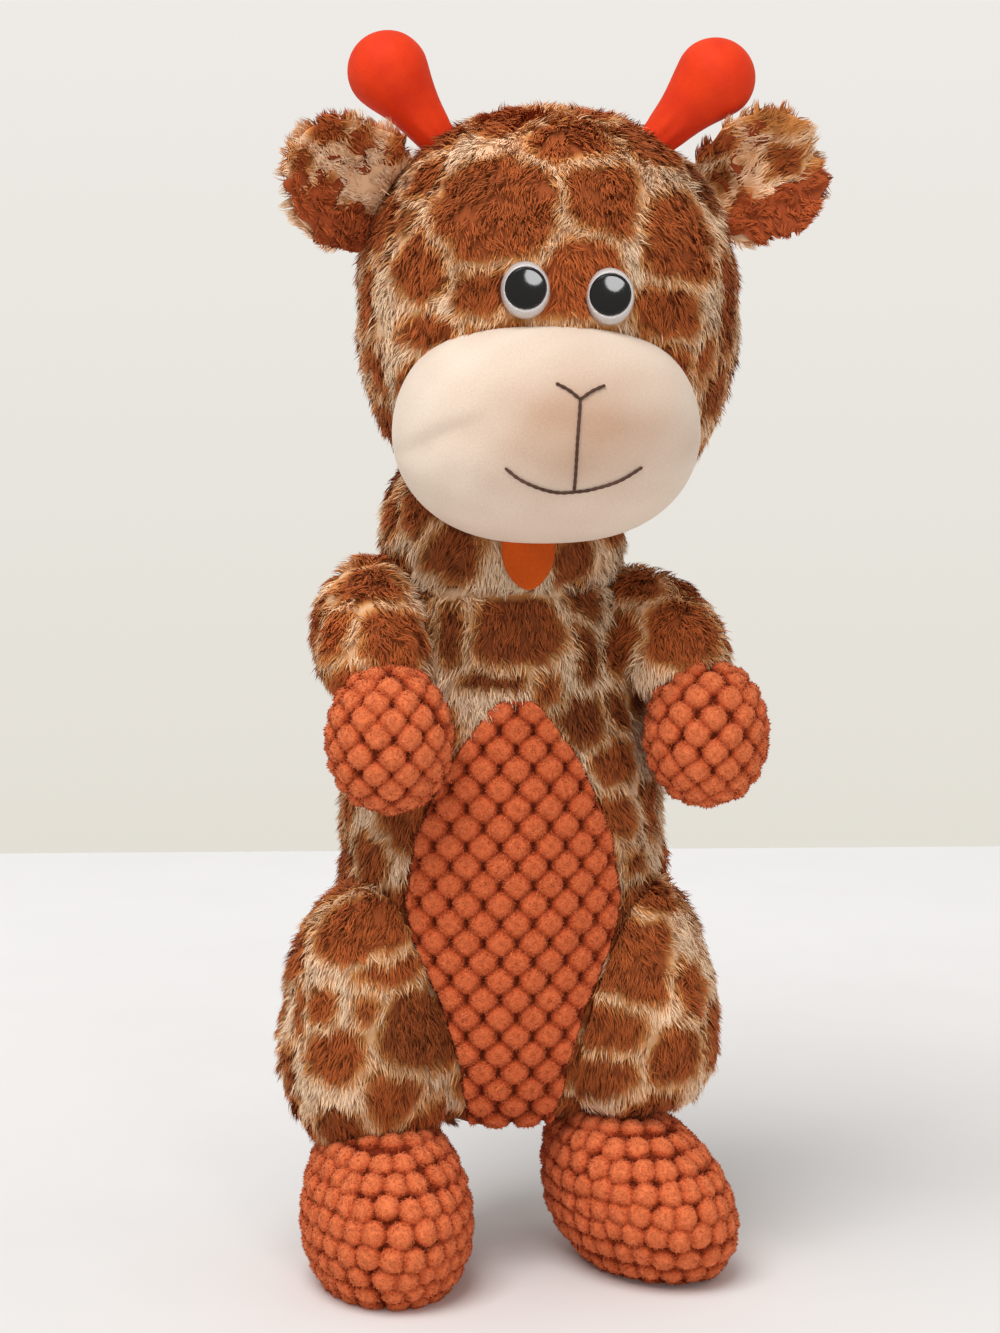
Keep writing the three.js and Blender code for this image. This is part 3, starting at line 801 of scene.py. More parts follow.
@dataclass(frozen=True)
class GiraffePlush(Finish):
    """Long polyester pile on a knitted backing, printed with giraffe patches.

    The pile is soft and dull, darker down at its roots and paler at its tips, which catch
    the light as a faint sheen. A golden fringe parts a patch from the pale line round it.
    """

    patch: str = "#C2632F"
    patch_root: str = "#8C4420"
    fringe: str = "#DC9652"
    line: str = "#FFE3C2"
    line_root: str = "#F0BC8C"
    light: tuple[float, float] = (0.42, 1.5)  # of the darkest and the palest tone

    def skin(self, tree: Tree) -> dict[str, object]:
        """Colour the pile by the mesh's own values.

        Along runs from root to tip, print from line to patch, and tone lights the whole.

        Args:
            tree: The node tree.

        Returns:
            The shader's inputs.
        """
        labels = ("along", "print", "tone")
        along, printed, tone = (
            add_node(tree, "Attribute", output="Fac", attribute_name=label) for label in labels
        )
        patch, line = (
            add_node(tree, "Mix", {0: along, 6: linear(root), 7: linear(tip)}, 2, **COLOURS)
            for root, tip in ((self.patch_root, self.patch), (self.line_root, self.line))
        )
        off_line = add_node(tree, "MapRange", [printed, 0.0, 0.5])
        edge = add_node(tree, "Mix", {0: off_line, 6: line, 7: linear(self.fringe)}, 2, **COLOURS)
        on_patch = add_node(tree, "MapRange", [printed, 0.4, 0.9])
        colour = add_node(tree, "Mix", {0: on_patch, 6: edge, 7: patch}, 2, **COLOURS)
        light = add_node(tree, "MapRange", [tone, 0.0, 1.0, *self.light])
        return {
            "Base Color": add_node(tree, "Mix", {0: 1.0, 6: colour, 7: light}, 2, **TIMES),
            "Roughness": 0.8,
            "Sheen Weight": 0.12, "Sheen Roughness": 0.5, "Sheen Tint": linear("#FFD2A4"),
            "Specular IOR Level": 0.15,
        }


@dataclass(frozen=True)
class BubblePlush(Finish):
    """Short chenille pile raised in bubbles over a dark, pressed ground.

    The bubbles are matt with grainy curls 0.7 mm wide. Their tops are paler as a painted highlight,
    and the creases between them are deep red-brown as painted shade.
    """

    # The top colour is a painted highlight on the bubbles' crowns, and the crease colour is painted shade
    # between them
    top: str = "#EE804F"
    side: str = "#C8552D"
    painted_crease_shade: str = "#7E2A12"
    curls: Grain = Grain(0.7, 4.0, (0.86, 1.12), 0.7, 0.9)

    def skin(self, tree: Tree) -> dict[str, object]:
        """Colour the bubbles by the mesh's rise, from painted shade in the crease to a painted highlight on the
        top.

        Args:
            tree: The node tree.

        Returns:
            The shader's inputs.
        """
        rise = add_node(tree, "Attribute", output="Fac", attribute_name="rise")
        topped = add_node(tree, "MapRange", [rise, 0.5, 1.0])
        body = add_node(tree, "Mix", {0: topped, 6: linear(self.side), 7: linear(self.top)}, 2, **COLOURS)
        raised = add_node(tree, "MapRange", [rise, 0.1, 0.62])
        colour = add_node(tree, "Mix", {0: raised, 6: linear(self.painted_crease_shade), 7: body}, 2, **COLOURS)
        return self.curls.over(tree, colour) | {
            "Roughness": 0.9, "Sheen Weight": 0.1, "Sheen Roughness": 0.5,
            "Sheen Tint": linear("#FFB48C"), "Specular IOR Level": 0.1,
        }


@dataclass(frozen=True)
class ShortNap(Finish):
    """Cloth with a nap too short to see as hairs: velour, velvet, felt, floss or loose fibre.

    It is matt with a fine mottling, broad patches where the nap lies to its darker side or
    else a painted sheen and painted shade given by the mesh, and a sheen at grazing angles.
    """

    colour: str
    shade: str
    sheen: str
    grain: float  # width of the mottling in millimetres
    depth: float  # its height
    roughness: float = 0.9
    sheen_weight: float = 0.35
    specular: float = 0.2
    painted_sheen_and_shade: bool = False  # whether the mesh gives a painted sheen and painted shade in place of the patches

    def skin(self, tree: Tree) -> dict[str, object]:
        """Colour the nap by the mesh's painted sheen and painted shade, or in soft patches 22 grains wide, and
        mottle it.

        Args:
            tree: The node tree.

        Returns:
            The shader's inputs.
        """
        if self.painted_sheen_and_shade:
            share = add_node(tree, "Attribute", output="Fac", attribute_name="painted_sheen_and_shade")
        else:
            place = add_node(tree, "TexCoord", output="Object")
            broad = {"Vector": place, "Scale": 1 / (self.grain * 22 * METRES), "Detail": 2.0}
            share = add_node(tree, "MapRange", [add_node(tree, "TexNoise", broad, "Fac"), 0.35, 0.65])
        base = add_node(tree, "Mix", {0: share, 6: linear(self.shade), 7: linear(self.colour)}, 2, **COLOURS)
        return Grain(self.grain, 4.0, (0.93, 1.06), self.depth, 0.6).over(tree, base) | {
            "Roughness": self.roughness, "Sheen Weight": self.sheen_weight, "Sheen Roughness": 0.45,
            "Sheen Tint": linear(self.sheen), "Specular IOR Level": self.specular,
        }


@dataclass(frozen=True)
class Moulded(Finish):
    """Injection-moulded plastic: an even colour under a smooth skin with faint waves."""

    colour: str
    roughness: float
    coat: float = 0.0
    subsurface: float = 0.0
    ior: float = 1.49
    specular: float = 0.5

    def skin(self, tree: Tree) -> dict[str, object]:
        """Lay waves 1.6 mm wide over the colour.

        Args:
            tree: The node tree.

        Returns:
            The shader's inputs.
        """
        return Grain(1.6, 2.0, (0.97, 1.02), 0.02, 0.2).over(tree, linear(self.colour)) | {
            "Roughness": self.roughness, "IOR": self.ior, "Coat Weight": self.coat, "Coat Roughness": 0.03,
            "Specular IOR Level": self.specular, "Subsurface Weight": self.subsurface,
            "Subsurface Radius": (0.004, 0.004, 0.004),
        }


@dataclass(frozen=True)
class PaintedBoard(Finish):
    """The studio's board in matt white paint with faint rolled mottling, paler away from the camera as painted
    light.
    """

    # The paler far paint is painted light where the lamps give the floor less
    near: str = "#E6E4E2"
    far: str = "#F3F2F1"

    def skin(self, tree: Tree) -> dict[str, object]:
        """Run painted light from the greyer paint near the camera to the paler far paint over half a metre, and
        mottle it.

        Args:
            tree: The node tree.

        Returns:
            The shader's inputs.
        """
        deep = add_node(tree, "SeparateXYZ", [add_node(tree, "TexCoord", output="Object")], "Y")
        share = add_node(tree, "MapRange", [deep, 0.0, 0.5])
        paint = add_node(tree, "Mix", {0: share, 6: linear(self.near), 7: linear(self.far)}, 2, **COLOURS)
        return Grain(60.0, 2.0, (0.99, 1.01)).over(tree, paint) | {"Roughness": 0.9, "Specular IOR Level": 0.1}


# Print


@dataclass
class PhotoView:
    """The camera of the scene, which also says where a pixel of the 1000 by 1333 frame lies."""

    target: Array
    azimuth: float = math.radians(-6)
    pitch: float = math.radians(9)
    distance: float = 1150.0
    focal_pixels: float = 3710.0
    frame: tuple[float, float] = (1000.0, 1333.0)

    def axes(self) -> tuple[Array, Array, Array, Array]:
        """Give the camera's place and its unit ways forward, right and up.

        Returns:
            The place and the three ways.
        """
        a, p = self.azimuth, self.pitch
        back = np.array([math.sin(a) * math.cos(p), -math.cos(a) * math.cos(p), math.sin(p)])
        right = unit(np.cross(-back, [0.0, 0.0, 1.0]))
        return self.target + self.distance * back, -back, right, np.cross(right, -back)

    def onto(self, form: Form, pixels: Array) -> Array:
        """Give the first point of a form behind each pixel, or the nearest place to it.

        Args:
            form: The form.
            pixels: Rows of a pixel's place across and down.

        Returns:
            Points as rows.
        """
        place, forward, right, upward = self.axes()
        across = (pixels[:, 0] - self.frame[0] / 2) / self.focal_pixels
        down = (pixels[:, 1] - self.frame[1] / 2) / self.focal_pixels
        rays = forward + across[:, None] * right - down[:, None] * upward
        depths = np.linspace(self.distance - 130, self.distance + 130, 521)
        points = place + rays[:, None, :] * depths[None, :, None]
        fullness = form.fullness(points.reshape(-1, 3)).reshape(len(pixels), -1)
        inside = fullness < 1
        first = np.where(inside.any(axis=1), inside.argmax(axis=1), fullness.argmin(axis=1))
        return points[np.arange(len(pixels)), first]

    def millimetres(self) -> float:
        """Give the size of one pixel at the target."""
        return self.distance / self.focal_pixels

    def add_camera(self) -> None:
        """Make the scene's camera."""
        place, forward, right, upward = self.axes()
        data = bpy.data.cameras.new("camera")
        data.sensor_fit, data.sensor_height = "VERTICAL", 24.0
        data.lens = data.sensor_height * self.focal_pixels / self.frame[1]
        data.clip_start, data.clip_end = 0.05, 20.0
        axes = (right, upward, -forward)
        bpy.context.scene.camera = place_thing("camera", data, axes, place * METRES)



@dataclass
class GiraffePrint:
    """Brown patches parted by pale lines.

    Each patch has a middle and half-sizes across and up, and its edge lies where the cubes of
    the shares across and up add to about 1, a square with round corners. A place belongs to
    the patch whose edge it lies deepest inside, and is a line where two are about as deep.
    """

    middles: Array
    sizes: Array
    tones: Array
    shade: float = 0.0  # how much darker or lighter the whole cover is: painted shade on the torso and neck, lighter on the ears
    seed: int = 5
    line: float = 3.0
    blur: float = 2.7
    swell: float = 1.2  # how far patches reach past their sizes where they have room
    wobble: float = 1.3
    wobble_size: float = 11.0
    golden: float = 0.9  # tone above which a patch is golden, half as brown as the others

    def read(self, points: Array) -> tuple[Array, Array]:
        """Read the print at places, moved by a soft wobble.

        Args:
            points: The places as rows.

        Returns:
            How brown each is, 0 to 1, and the tone of its patch.
        """
        moved = points + soft_shift(self.seed, self.wobble_size, points) * self.wobble
        brown, tone = np.empty(len(points)), np.empty(len(points))
        for start in range(0, len(points), PART):
            part = slice(start, start + PART)
            gaps = moved[part][:, None, :] - self.middles[None]
            across = np.hypot(gaps[..., 0], gaps[..., 1]) / self.sizes[:, 0]
            share = (across**3 + np.abs(gaps[..., 2] / self.sizes[:, 1]) ** 3) ** (1 / 3)
            depth = (share - self.swell) * self.sizes.mean(axis=1)
            order = np.argpartition(depth, 1, axis=1)[:, :2]
            two = np.take_along_axis(depth, order, axis=1)
            nearest, second = two.min(axis=1), two.max(axis=1)
            inside = np.minimum(-nearest, (second - nearest - self.line) / 2)
            brown[part] = smooth_step(-self.blur, self.blur, inside)
            tone[part] = self.tones[order[np.arange(len(two)), two.argmin(axis=1)]]
        golden = tone > self.golden
        return np.where(golden, 0.5 * brown, brown), np.where(golden, 0.0, tone * brown) + self.shade


class EvenPrint:
    """Plush dyed in one colour, that of the patches."""

    def read(self, points: Array) -> tuple[Array, Array]:
        """Give full brown and an even tone."""
        return np.ones(len(points)), np.zeros(len(points))


def lay_print(
    cover: Cover,
    view: PhotoView,
    spots: Sequence[Spot],
    seed: int,
    bare_front: bool = False,
    shade: float = 0.0,
) -> GiraffePrint:
    """Lay the patches of one cover.

    After those of the front, patches of about 10 mm are tried at 2600 places drawn by area,
    and each is kept that stays clear of all patches before it.

    Args:
        cover: The cover.
        view: The camera, through which the front's patches were placed.
        spots: The patches of the front: pixel across, pixel down, half-width, half-height in
            pixels, and tone from -1, dark, to 0.9, light, or 1 for a golden patch.
        seed: Seed of the patches on the rest of the cover.
        bare_front: Whether the front gets no patches but those listed.
        shade: How much darker or lighter the cover is.

    Returns:
        The print.
    """
    rng = np.random.default_rng(seed)
    table = np.array(spots, float)
    middles, sizes = list(view.onto(cover.form, table[:, :2])), list(table[:, 2:4] * view.millimetres())
    tones = list(table[:, 4])
    angle, turn, _ = cover.scatter(2600, rng)
    places = cover.at(angle, turn)
    if bare_front:
        places = places[((places - cover.form.middle) @ cover.form.turn)[:, 1] > 3.5]
    for place in places:
        size = 10.0 * rng.uniform(0.75, 1.35)
        tall = size * rng.uniform(0.8, 1.3)
        apart = np.linalg.norm(np.array(middles) - place, axis=1)
        room = 0.93 * (np.array([one.mean() for one in sizes]) + (size + tall) / 2) + 1.2
        if (apart > room).all():
            middles.append(place)
            sizes.append(np.array([size, tall]))
            tones.append(rng.uniform(-0.4, 0.2))
    return GiraffePrint(np.array(middles), np.array(sizes), np.array(tones), shade, seed)


# Pile


@dataclass(frozen=True)
class PileCut:
    """How the pile of a plush stands: long hairs drawn together in tufts, brushed one way."""

    length: float = 4.6
    width: float = 0.42
    spacing: float = 2.5  # between tufts
    hairs: int = 15  # in a tuft
    lift: float = 0.33  # share of standing up against lying along the nap
    clump: float = 0.4  # how far the tips draw together
    stray: float = 0.3  # how far the nap wanders
    stand: float = 0.55  # how much the root half of a hair stands up from the rest
    droop: float = 0.15  # how much its tip half lies down
    twist: float = 0.9  # how far a hair's flat side turns, in radians


def nap_down(points: Array, normals: Array) -> Array:
    """Brush the pile downwards."""
    return np.broadcast_to(np.array([0.0, 0.0, -1.0]), points.shape)


def grow_pile(
    cover: Cover, cut: PileCut, printed: GiraffePrint | EvenPrint, nap: Nap, keep: Keep, seed: int
) -> Surface:
    """Grow the pile of a cover as narrow strands.

    Each tuft's middle is drawn by area, and its hairs lie round it on the cover. A hair is a
    strip of four points and a tip. It leaves the cover between the normal and the nap, bends
    over half way, and its tip moves towards the tuft's common tip by clump.

    Args:
        cover: The cover.
        cut: The pile's sizes.
        printed: The print that colours it.
        nap: The way that it is brushed.
        keep: Says which roots aren't hidden by a neighbour.
        seed: Seed of the random draws.

    Returns:
        The strands.
    """
    rng = np.random.default_rng(seed)
    area = cover.scatter(1, rng)[2]
    count = int(area / cut.spacing**2)
    angle, turn, _ = cover.scatter(count, rng)
    middle, normal, upward, across, long_up, long_across = cover.frames(angle, turn)
    wander = soft_shift(seed + 20, 16.0, middle)
    way = unit(nap(middle, normal)) + cut.stray * (1.6 * wander + 0.6 * rng.normal(size=middle.shape))
    way = unit(flattened(way, normal))
    lift = np.clip(cut.lift + 0.1 * rng.normal(size=count), 0.15, 0.9)[:, None]
    tuft_aim = unit(normal * lift + way * (1 - lift))
    tuft_long = cut.length * rng.uniform(0.8, 1.2, count)
    tuft_tone = rng.normal(size=count) * 0.06
    tips = middle + tuft_aim * tuft_long[:, None]

    tuft = np.repeat(np.arange(count), cut.hairs)
    offset = rng.normal(size=(len(tuft), 2)) * cut.spacing * 0.52
    hair_angle = angle[tuft] + offset[:, 0] / np.maximum(long_up[tuft], 1.0)
    hair_angle = np.clip(hair_angle, -math.pi / 2 + 0.01, math.pi / 2 - 0.01)
    hair_turn = turn[tuft] + np.clip(offset[:, 1] / np.maximum(long_across[tuft], 1.0), -0.6, 0.6)
    root, hair_normal, *_ = cover.frames(hair_angle, hair_turn)
    kept = keep(root)
    tuft, root, hair_normal = tuft[kept], root[kept], hair_normal[kept]
    hairs = len(root)
    aim = unit(tuft_aim[tuft] + 0.16 * rng.normal(size=(hairs, 3)))
    long = tuft_long[tuft] * rng.uniform(0.7, 1.15, hairs)
    rise = unit(aim + cut.stand * hair_normal)
    bend = root + rise * (0.5 * long)[:, None]
    tip = bend + unit(aim - cut.droop * hair_normal) * (0.55 * long)[:, None]
    tip += cut.clump * (tips[tuft] - tip)
    bend += 0.35 * cut.clump * (middle[tuft] + tuft_aim[tuft] * (0.5 * long)[:, None] - bend)
    side = unit(np.cross(aim, hair_normal))
    spin = rng.uniform(-cut.twist, cut.twist, hairs)[:, None]
    side = unit(side * np.cos(spin) + np.cross(aim, side) * np.sin(spin))
    side *= np.sign((np.cross(side, aim) * hair_normal).sum(1, keepdims=True) + 1e-9)
    half = side * (cut.width / 2)
    points = np.stack([root - half, root + half, bend + half * 0.9, bend - half * 0.9, tip], axis=1)

    # Normals lean to both sides, so that light runs round a flat strip as round a hair
    base_normal = unit(0.85 * hair_normal + 0.2 * unit(np.cross(side, aim)))
    leans = np.array([-0.25, 0.25, 0.25, -0.25, 0.0])
    normals = unit(base_normal[:, None, :] + leans[None, :, None] * side[:, None, :])

    brown, patch_tone = printed.read(root + 0.35 * (tip - root) + 0.6 * rng.normal(size=root.shape))
    tone = 0.5 + tuft_tone[tuft] + 0.045 * rng.normal(size=hairs) + 0.4 * patch_tone
    tone += 0.09 * SoftNoise(seed + 50, 24.0).at(root)
    first = 5 * np.arange(hairs)[:, None]
    strip = ((0.15, 0.1), (0.85, 0.1), (0.85, 0.55), (0.15, 0.55))
    values = {"print": np.repeat(brown, 5), "tone": np.repeat(np.clip(tone, 0, 1), 5)}
    values["along"] = np.tile([0.0, 0.0, 0.6, 0.6, 1.0], hairs)
    return Surface(
        points.reshape(-1, 3), first + np.array([0, 1, 2, 3]), first + np.array([3, 2, 4]),
        *flat_cells(hairs, strip, ((0.15, 0.55), (0.85, 0.55), (0.5, 0.92))), values, normals.reshape(-1, 3),
    )


# Bubble plush


@dataclass(frozen=True)
class BubbleCut:
    """How the bubbles lie: staggered rows of round, flat-topped cushions with a dimple."""

    pitch: float = 10.0  # between bubbles of a row
    row: float = 5.9
    radius: float = 4.6
    height: float = 2.7
    joined: float = 0.5  # how far in from its rim a bubble starts where two touch
    shoulder: float = 3.9  # width of the rounding from crease to top
    dimple: float = 0.25
    dimple_radius: float = 1.0
    stray: float = 0.0  # how far a bubble strays from its place

    def heights(self, points: Array, centres: Array) -> tuple[Array, Array]:
        """Give the pile's height above its ground and the share of the full height.

        A bubble ends at its radius, or half way to the next one, whichever is nearer. The
        rounding runs in from there as a quarter circle, so that bubbles which touch join in a
        thin crease, and the places between four of them are deep gaps.

        Args:
            points: Places on the ground.
            centres: The bubbles' middles.

        Returns:
            The heights in millimetres and the shares, 0 to 1.
        """
        high, share = np.empty(len(points)), np.empty(len(points))
        for start in range(0, len(points), PART):
            part = slice(start, start + PART)
            away = np.linalg.norm(points[part, None, :] - centres[None], axis=2)
            nearest, second = np.partition(away, 1, axis=1)[:, :2].T
            edge = np.minimum(self.radius - nearest, (second - nearest) / 2 + self.joined)
            edge = np.clip(edge / self.shoulder, 0, 1)
            crown = np.sqrt(1 - (1 - edge) ** 2)
            dimple = np.exp(-((nearest / self.dimple_radius) ** 2))
            high[part] = self.height * crown - self.dimple * dimple
            share[part] = crown - 0.8 * self.dimple * dimple
        grain = 0.5 * (SoftNoise(15, 1.9).at(points) + SoftNoise(16, 3.1).at(points))
        return high + 0.14 * grain, np.clip(share + 0.06 * grain, 0, 1)


def bubble_rings(form: Form, cut: BubbleCut, seed: int) -> Array:
    """Set bubbles on a form in level rings, counted from its front.

    Each ring starts a half step on from the last, and every bubble strays a little.

    Args:
        form: The form.
        cut: The bubbles' sizes.
        seed: Seed of the straying.

    Returns:
        The bubbles' middles as rows.
    """
    rng = np.random.default_rng(seed)
    length = lengths_along(form.place(form.even_angles(200), np.zeros(201)))[-1]
    centres = []
    for number, angle in enumerate(form.even_angles(max(int(round(length / cut.row)), 2))[1:-1]):
        turns = np.linspace(-0.5 * math.pi, 1.5 * math.pi, 721)
        lengths = lengths_along(form.place(np.full(721, angle), turns))
        count = max(int(round(lengths[-1] / cut.pitch)), 1)
        along = (np.arange(count) + 0.5 * (number % 2)) / count * lengths[-1]
        centres.append(form.place(np.full(count, angle), np.interp(along, lengths, turns)))
    centres = np.concatenate(centres)
    return centres + cut.stray * (rng.normal(size=centres.shape) + 2.2 * soft_shift(seed, 34.0, centres))


def bubble_surface(cover: Cover, cut: BubbleCut, centres: Array, rings: int, sides: int) -> Surface:
    """Raise bubbles over a closed cover, whose ground is sunk so that their tops keep the form's size.

    Args:
        cover: The cover.
        cut: The bubbles' sizes.
        centres: Their middles.
        rings: Steps from pole to pole.
        sides: Points of a ring.

    Returns:
        The surface, with its rise.
    """
    angle, turn = grid_params(cover.form, rings, sides)
    high, share = cut.heights(cover.form.place(angle, turn), centres)
    _, normals, *_ = replace(cover, neighbours=(), ceiling=None, floor=None).frames(angle, turn)
    points = cover.clear(cover.form.place(angle, turn, -cut.height * 0.8) + normals * high[:, None])
    return Surface(points, *closed_grid(rings, sides), {"rise": share})


def grow_fuzz(surface: Surface, density: float, length: float, width: float, seed: int) -> Surface:
    """Grow short curls over a bubble surface, one small triangle each.

    Roots are drawn by area over the quads, and each curl leans up to half over from the
    face's normal.

    Args:
        surface: The bubbles, with their rise.
        density: Curls in a square millimetre.
        length: Length of a curl.
        width: Width of its root.
        seed: Seed of the random draws.

    Returns:
        The curls, with a rise a little above their root's, so that they carry its painted shade or painted
        highlight and their tips a paler painted highlight.
    """
    rng = np.random.default_rng(seed)
    corners = surface.points[surface.quads]
    cross = np.cross(corners[:, 2] - corners[:, 0], corners[:, 3] - corners[:, 1])
    area = np.linalg.norm(cross, axis=1) / 2
    rise = surface.values["rise"][surface.quads].mean(axis=1)
    weight = area * (rise > 0.08)
    count = int(weight.sum() * density)
    picked = rng.choice(len(area), size=count, p=weight / weight.sum())
    u, v = rng.random((count, 1)), rng.random((count, 1))
    four = corners[picked]
    root = (four[:, 0] * (1 - u) + four[:, 1] * u) * (1 - v) + (four[:, 3] * (1 - u) + four[:, 2] * u) * v
    normal = unit(cross[picked])
    flat = rng.normal(size=(count, 3))
    aim = unit(0.6 * normal + unit(flattened(flat, normal)))
    side = unit(np.cross(aim, normal)) * width / 2
    side *= np.sign((np.cross(side, aim) * normal).sum(1, keepdims=True))
    tip = root + aim * length * rng.uniform(0.6, 1.2, (count, 1))
    # Each curl takes the painted shade or highlight of its root's rise, and its tip a paler painted highlight
    lit = rise[picked] + rng.normal(size=count) * 0.13
    points = np.stack([root - side, root + side, tip], axis=1).reshape(-1, 3)
    points[:, 2] = np.maximum(points[:, 2], 0.0)
    return Surface(
        points,
        triangles=3 * np.arange(count)[:, None] + np.array([0, 1, 2]),
        triangle_places=flat_cells(count, ((0.1, 0.1), (0.9, 0.1), (0.5, 0.9)))[0],
        values={"rise": np.clip(np.stack([lit, lit, lit + 0.18], axis=1).ravel(), 0, 1)},
        normals=np.repeat(unit(normal + 0.25 * aim), 3, axis=0),
    )


# The toy


@dataclass
class Toy:
    """Where every stuffed form lies, worked out from the neck's axis as the pattern's sizes give it."""

    axis: Array
    seat: float = 45.0  # height of the torso's lowest point
    torso_rise: float = 118.0
    torso_drop: float = 73.0
    torso_half_width: float = 49.5
    torso_half_depth: float = 41.0
    shoulder_full: float = 0.64
    neck_cut: float = 20.0  # from the torso's full height down to the neck's seam
    neck_radius: float = 36.0
    neck_up: float = 12.0  # from that seam up to the neck's middle
    head_side: float = 14.0
    head_half_width: float = 57.0
    head_half_depth: float = 50.0
    head_rise: float = 59.0
    head_drop: float = 60.0
    head_sunk: float = 26.0  # how far the head is drawn down over the neck
    muzzle_place: tuple[float, float, float] = (-4.6, -36.0, -35.0)  # from the head's middle

    def __post_init__(self) -> None:
        """Work out the forms."""
        hip = self.seat + self.torso_drop
        self.neck_seam = hip + self.torso_rise - self.neck_cut
        self.torso = Form(
            self.at(0, 0, hip), self.torso_half_width, self.torso_half_depth, self.torso_rise, self.torso_drop,
            self.shoulder_full, 0.42, 0.37,
        )
        self.neck = ball(self.at(0, 0, self.neck_seam + self.neck_up), self.neck_radius)
        head_up = self.neck_seam + self.neck_up + self.neck_radius + self.head_drop - self.head_sunk
        self.head = Form(
            self.at(self.head_side, 0, head_up), self.head_half_width, self.head_half_depth,
            self.head_rise, self.head_drop, 0.85, 0.6,
        )
        self.muzzle = Form(self.head.middle + self.muzzle_place, 46.0, 40.0, 33.5, 33.0, 0.7, 0.8, 0.72, 1.1)

    def at(self, x: float, y: float, z: float) -> Array:
        """Give a place measured from the neck's axis on the floor."""
        return np.array([self.axis[0] + x, self.axis[1] + y, z])


@dataclass
class Side:
    """What differs between the toy's right and left side, and the limbs that follow from it."""

    name: str
    side: int  # -1 on the toy's right, 1 on its left
    eye_rise: float  # of the eye above the height that both share
    ear_turn: float  # how far the ear turns up from the way out of the head, in radians
    horn_turn: float  # how far the horn leans out, in radians
    sleeve_out: float  # from the shoulder to the sleeve's middle
    sleeve_forward: float
    sleeve_below: float
    sleeve_aim: tuple[float, float, float]  # the way down the sleeve, with x outwards
    paw_in: float  # from the sleeve's end to the paw's middle
    paw_forward: float
    paw_below: float
    thigh_in: float  # from the torso's side to the thigh's middle
    thigh_forward: float
    foot_in: float  # from the thigh's middle to the foot's
    foot_forward: float
    toe_out: float  # how far the toes turn out, in radians
    thigh_drop: float
    sole_full: float
    foot_lean: float  # how far the foot's top leans inwards
    sleeve_half: float  # half of the sleeve's width
    sleeve_reach: float = 27.0  # from the sleeve's middle to either end
    knee_up: float = 27.0  # from the seat up to the thigh's middle
    foot_up: float = 20.0  # height of the foot's middle
    foot_below: float = 20.0  # from the thigh's middle down to the foot's top

    def place_forms(self, toy: Toy) -> None:
        """Work out this side's limbs.

        Args:
            toy: The toy's other forms.
        """
        share = 1 - toy.neck_cut / toy.torso_rise
        shoulder = toy.torso_half_width * math.cos(math.asin(share)) ** toy.shoulder_full
        self.aim = unit(np.array(self.sleeve_aim) * [self.side, 1, 1])
        out = self.side * (shoulder + self.sleeve_out)
        sleeve_middle = toy.at(out, -self.sleeve_forward, toy.neck_seam - self.sleeve_below)
        turn = turned_to(self.aim, np.array([0.0, 0.0, -1.0]))
        half, reach = self.sleeve_half, self.sleeve_reach
        self.sleeve = Form(sleeve_middle, half, half - 1.0, reach, reach, 1.45, 0.7, turn=turn)
        paw_from = [-self.side * self.paw_in, -self.paw_forward, -self.paw_below]
        self.paw = Form(sleeve_middle + self.aim * reach + paw_from, 18.8, 17.3, 22.0, 22.0, 0.85, 0.85)
        knee = toy.seat + self.knee_up
        thigh_middle = toy.at(self.side * (toy.torso_half_width - self.thigh_in), -self.thigh_forward, knee)
        self.thigh = Form(thigh_middle, 26.5, 25.0, 52.0, self.thigh_drop, 0.85, 0.6)
        foot_middle = thigh_middle + [-self.side * self.foot_in, -self.foot_forward, 0]
        foot_middle[2] = self.foot_up
        instep = knee - self.foot_below - self.foot_up
        self.foot = Form(
            foot_middle, 26.0, 38.0, instep, 27.0, 0.8, self.sole_full, top_back=10.0,
            side_lean=-self.side * self.foot_lean, turn=turned_about((0.0, 0.0, 1.0), self.side * self.toe_out),
        )


SIDES = (
    Side(
        "right", -1, eye_rise=1.0, ear_turn=0.45, horn_turn=0.64,
        sleeve_out=7.5, sleeve_forward=18.0, sleeve_below=14.0, sleeve_aim=(0.02, -0.8, -0.6),
        paw_in=3.5, paw_forward=5.5, paw_below=13.0, thigh_in=6.5, thigh_forward=18.0,
        foot_in=4.0, foot_forward=12.0, toe_out=-0.06, thigh_drop=31.0, sole_full=0.85, foot_lean=0.0,
        sleeve_half=17.4,
    ),
    Side(
        "left", 1, eye_rise=-1.0, ear_turn=0.1, horn_turn=0.76,
        sleeve_out=12.0, sleeve_forward=15.0, sleeve_below=17.0, sleeve_aim=(0.5, -0.62, -0.6),
        paw_in=1.0, paw_forward=2.6, paw_below=11.8, thigh_in=11.5, thigh_forward=14.0,
        foot_in=-3.0, foot_forward=7.0, toe_out=0.4, thigh_drop=22.0, sole_full=1.1, foot_lean=6.0,
        sleeve_half=16.2,
    ),
)

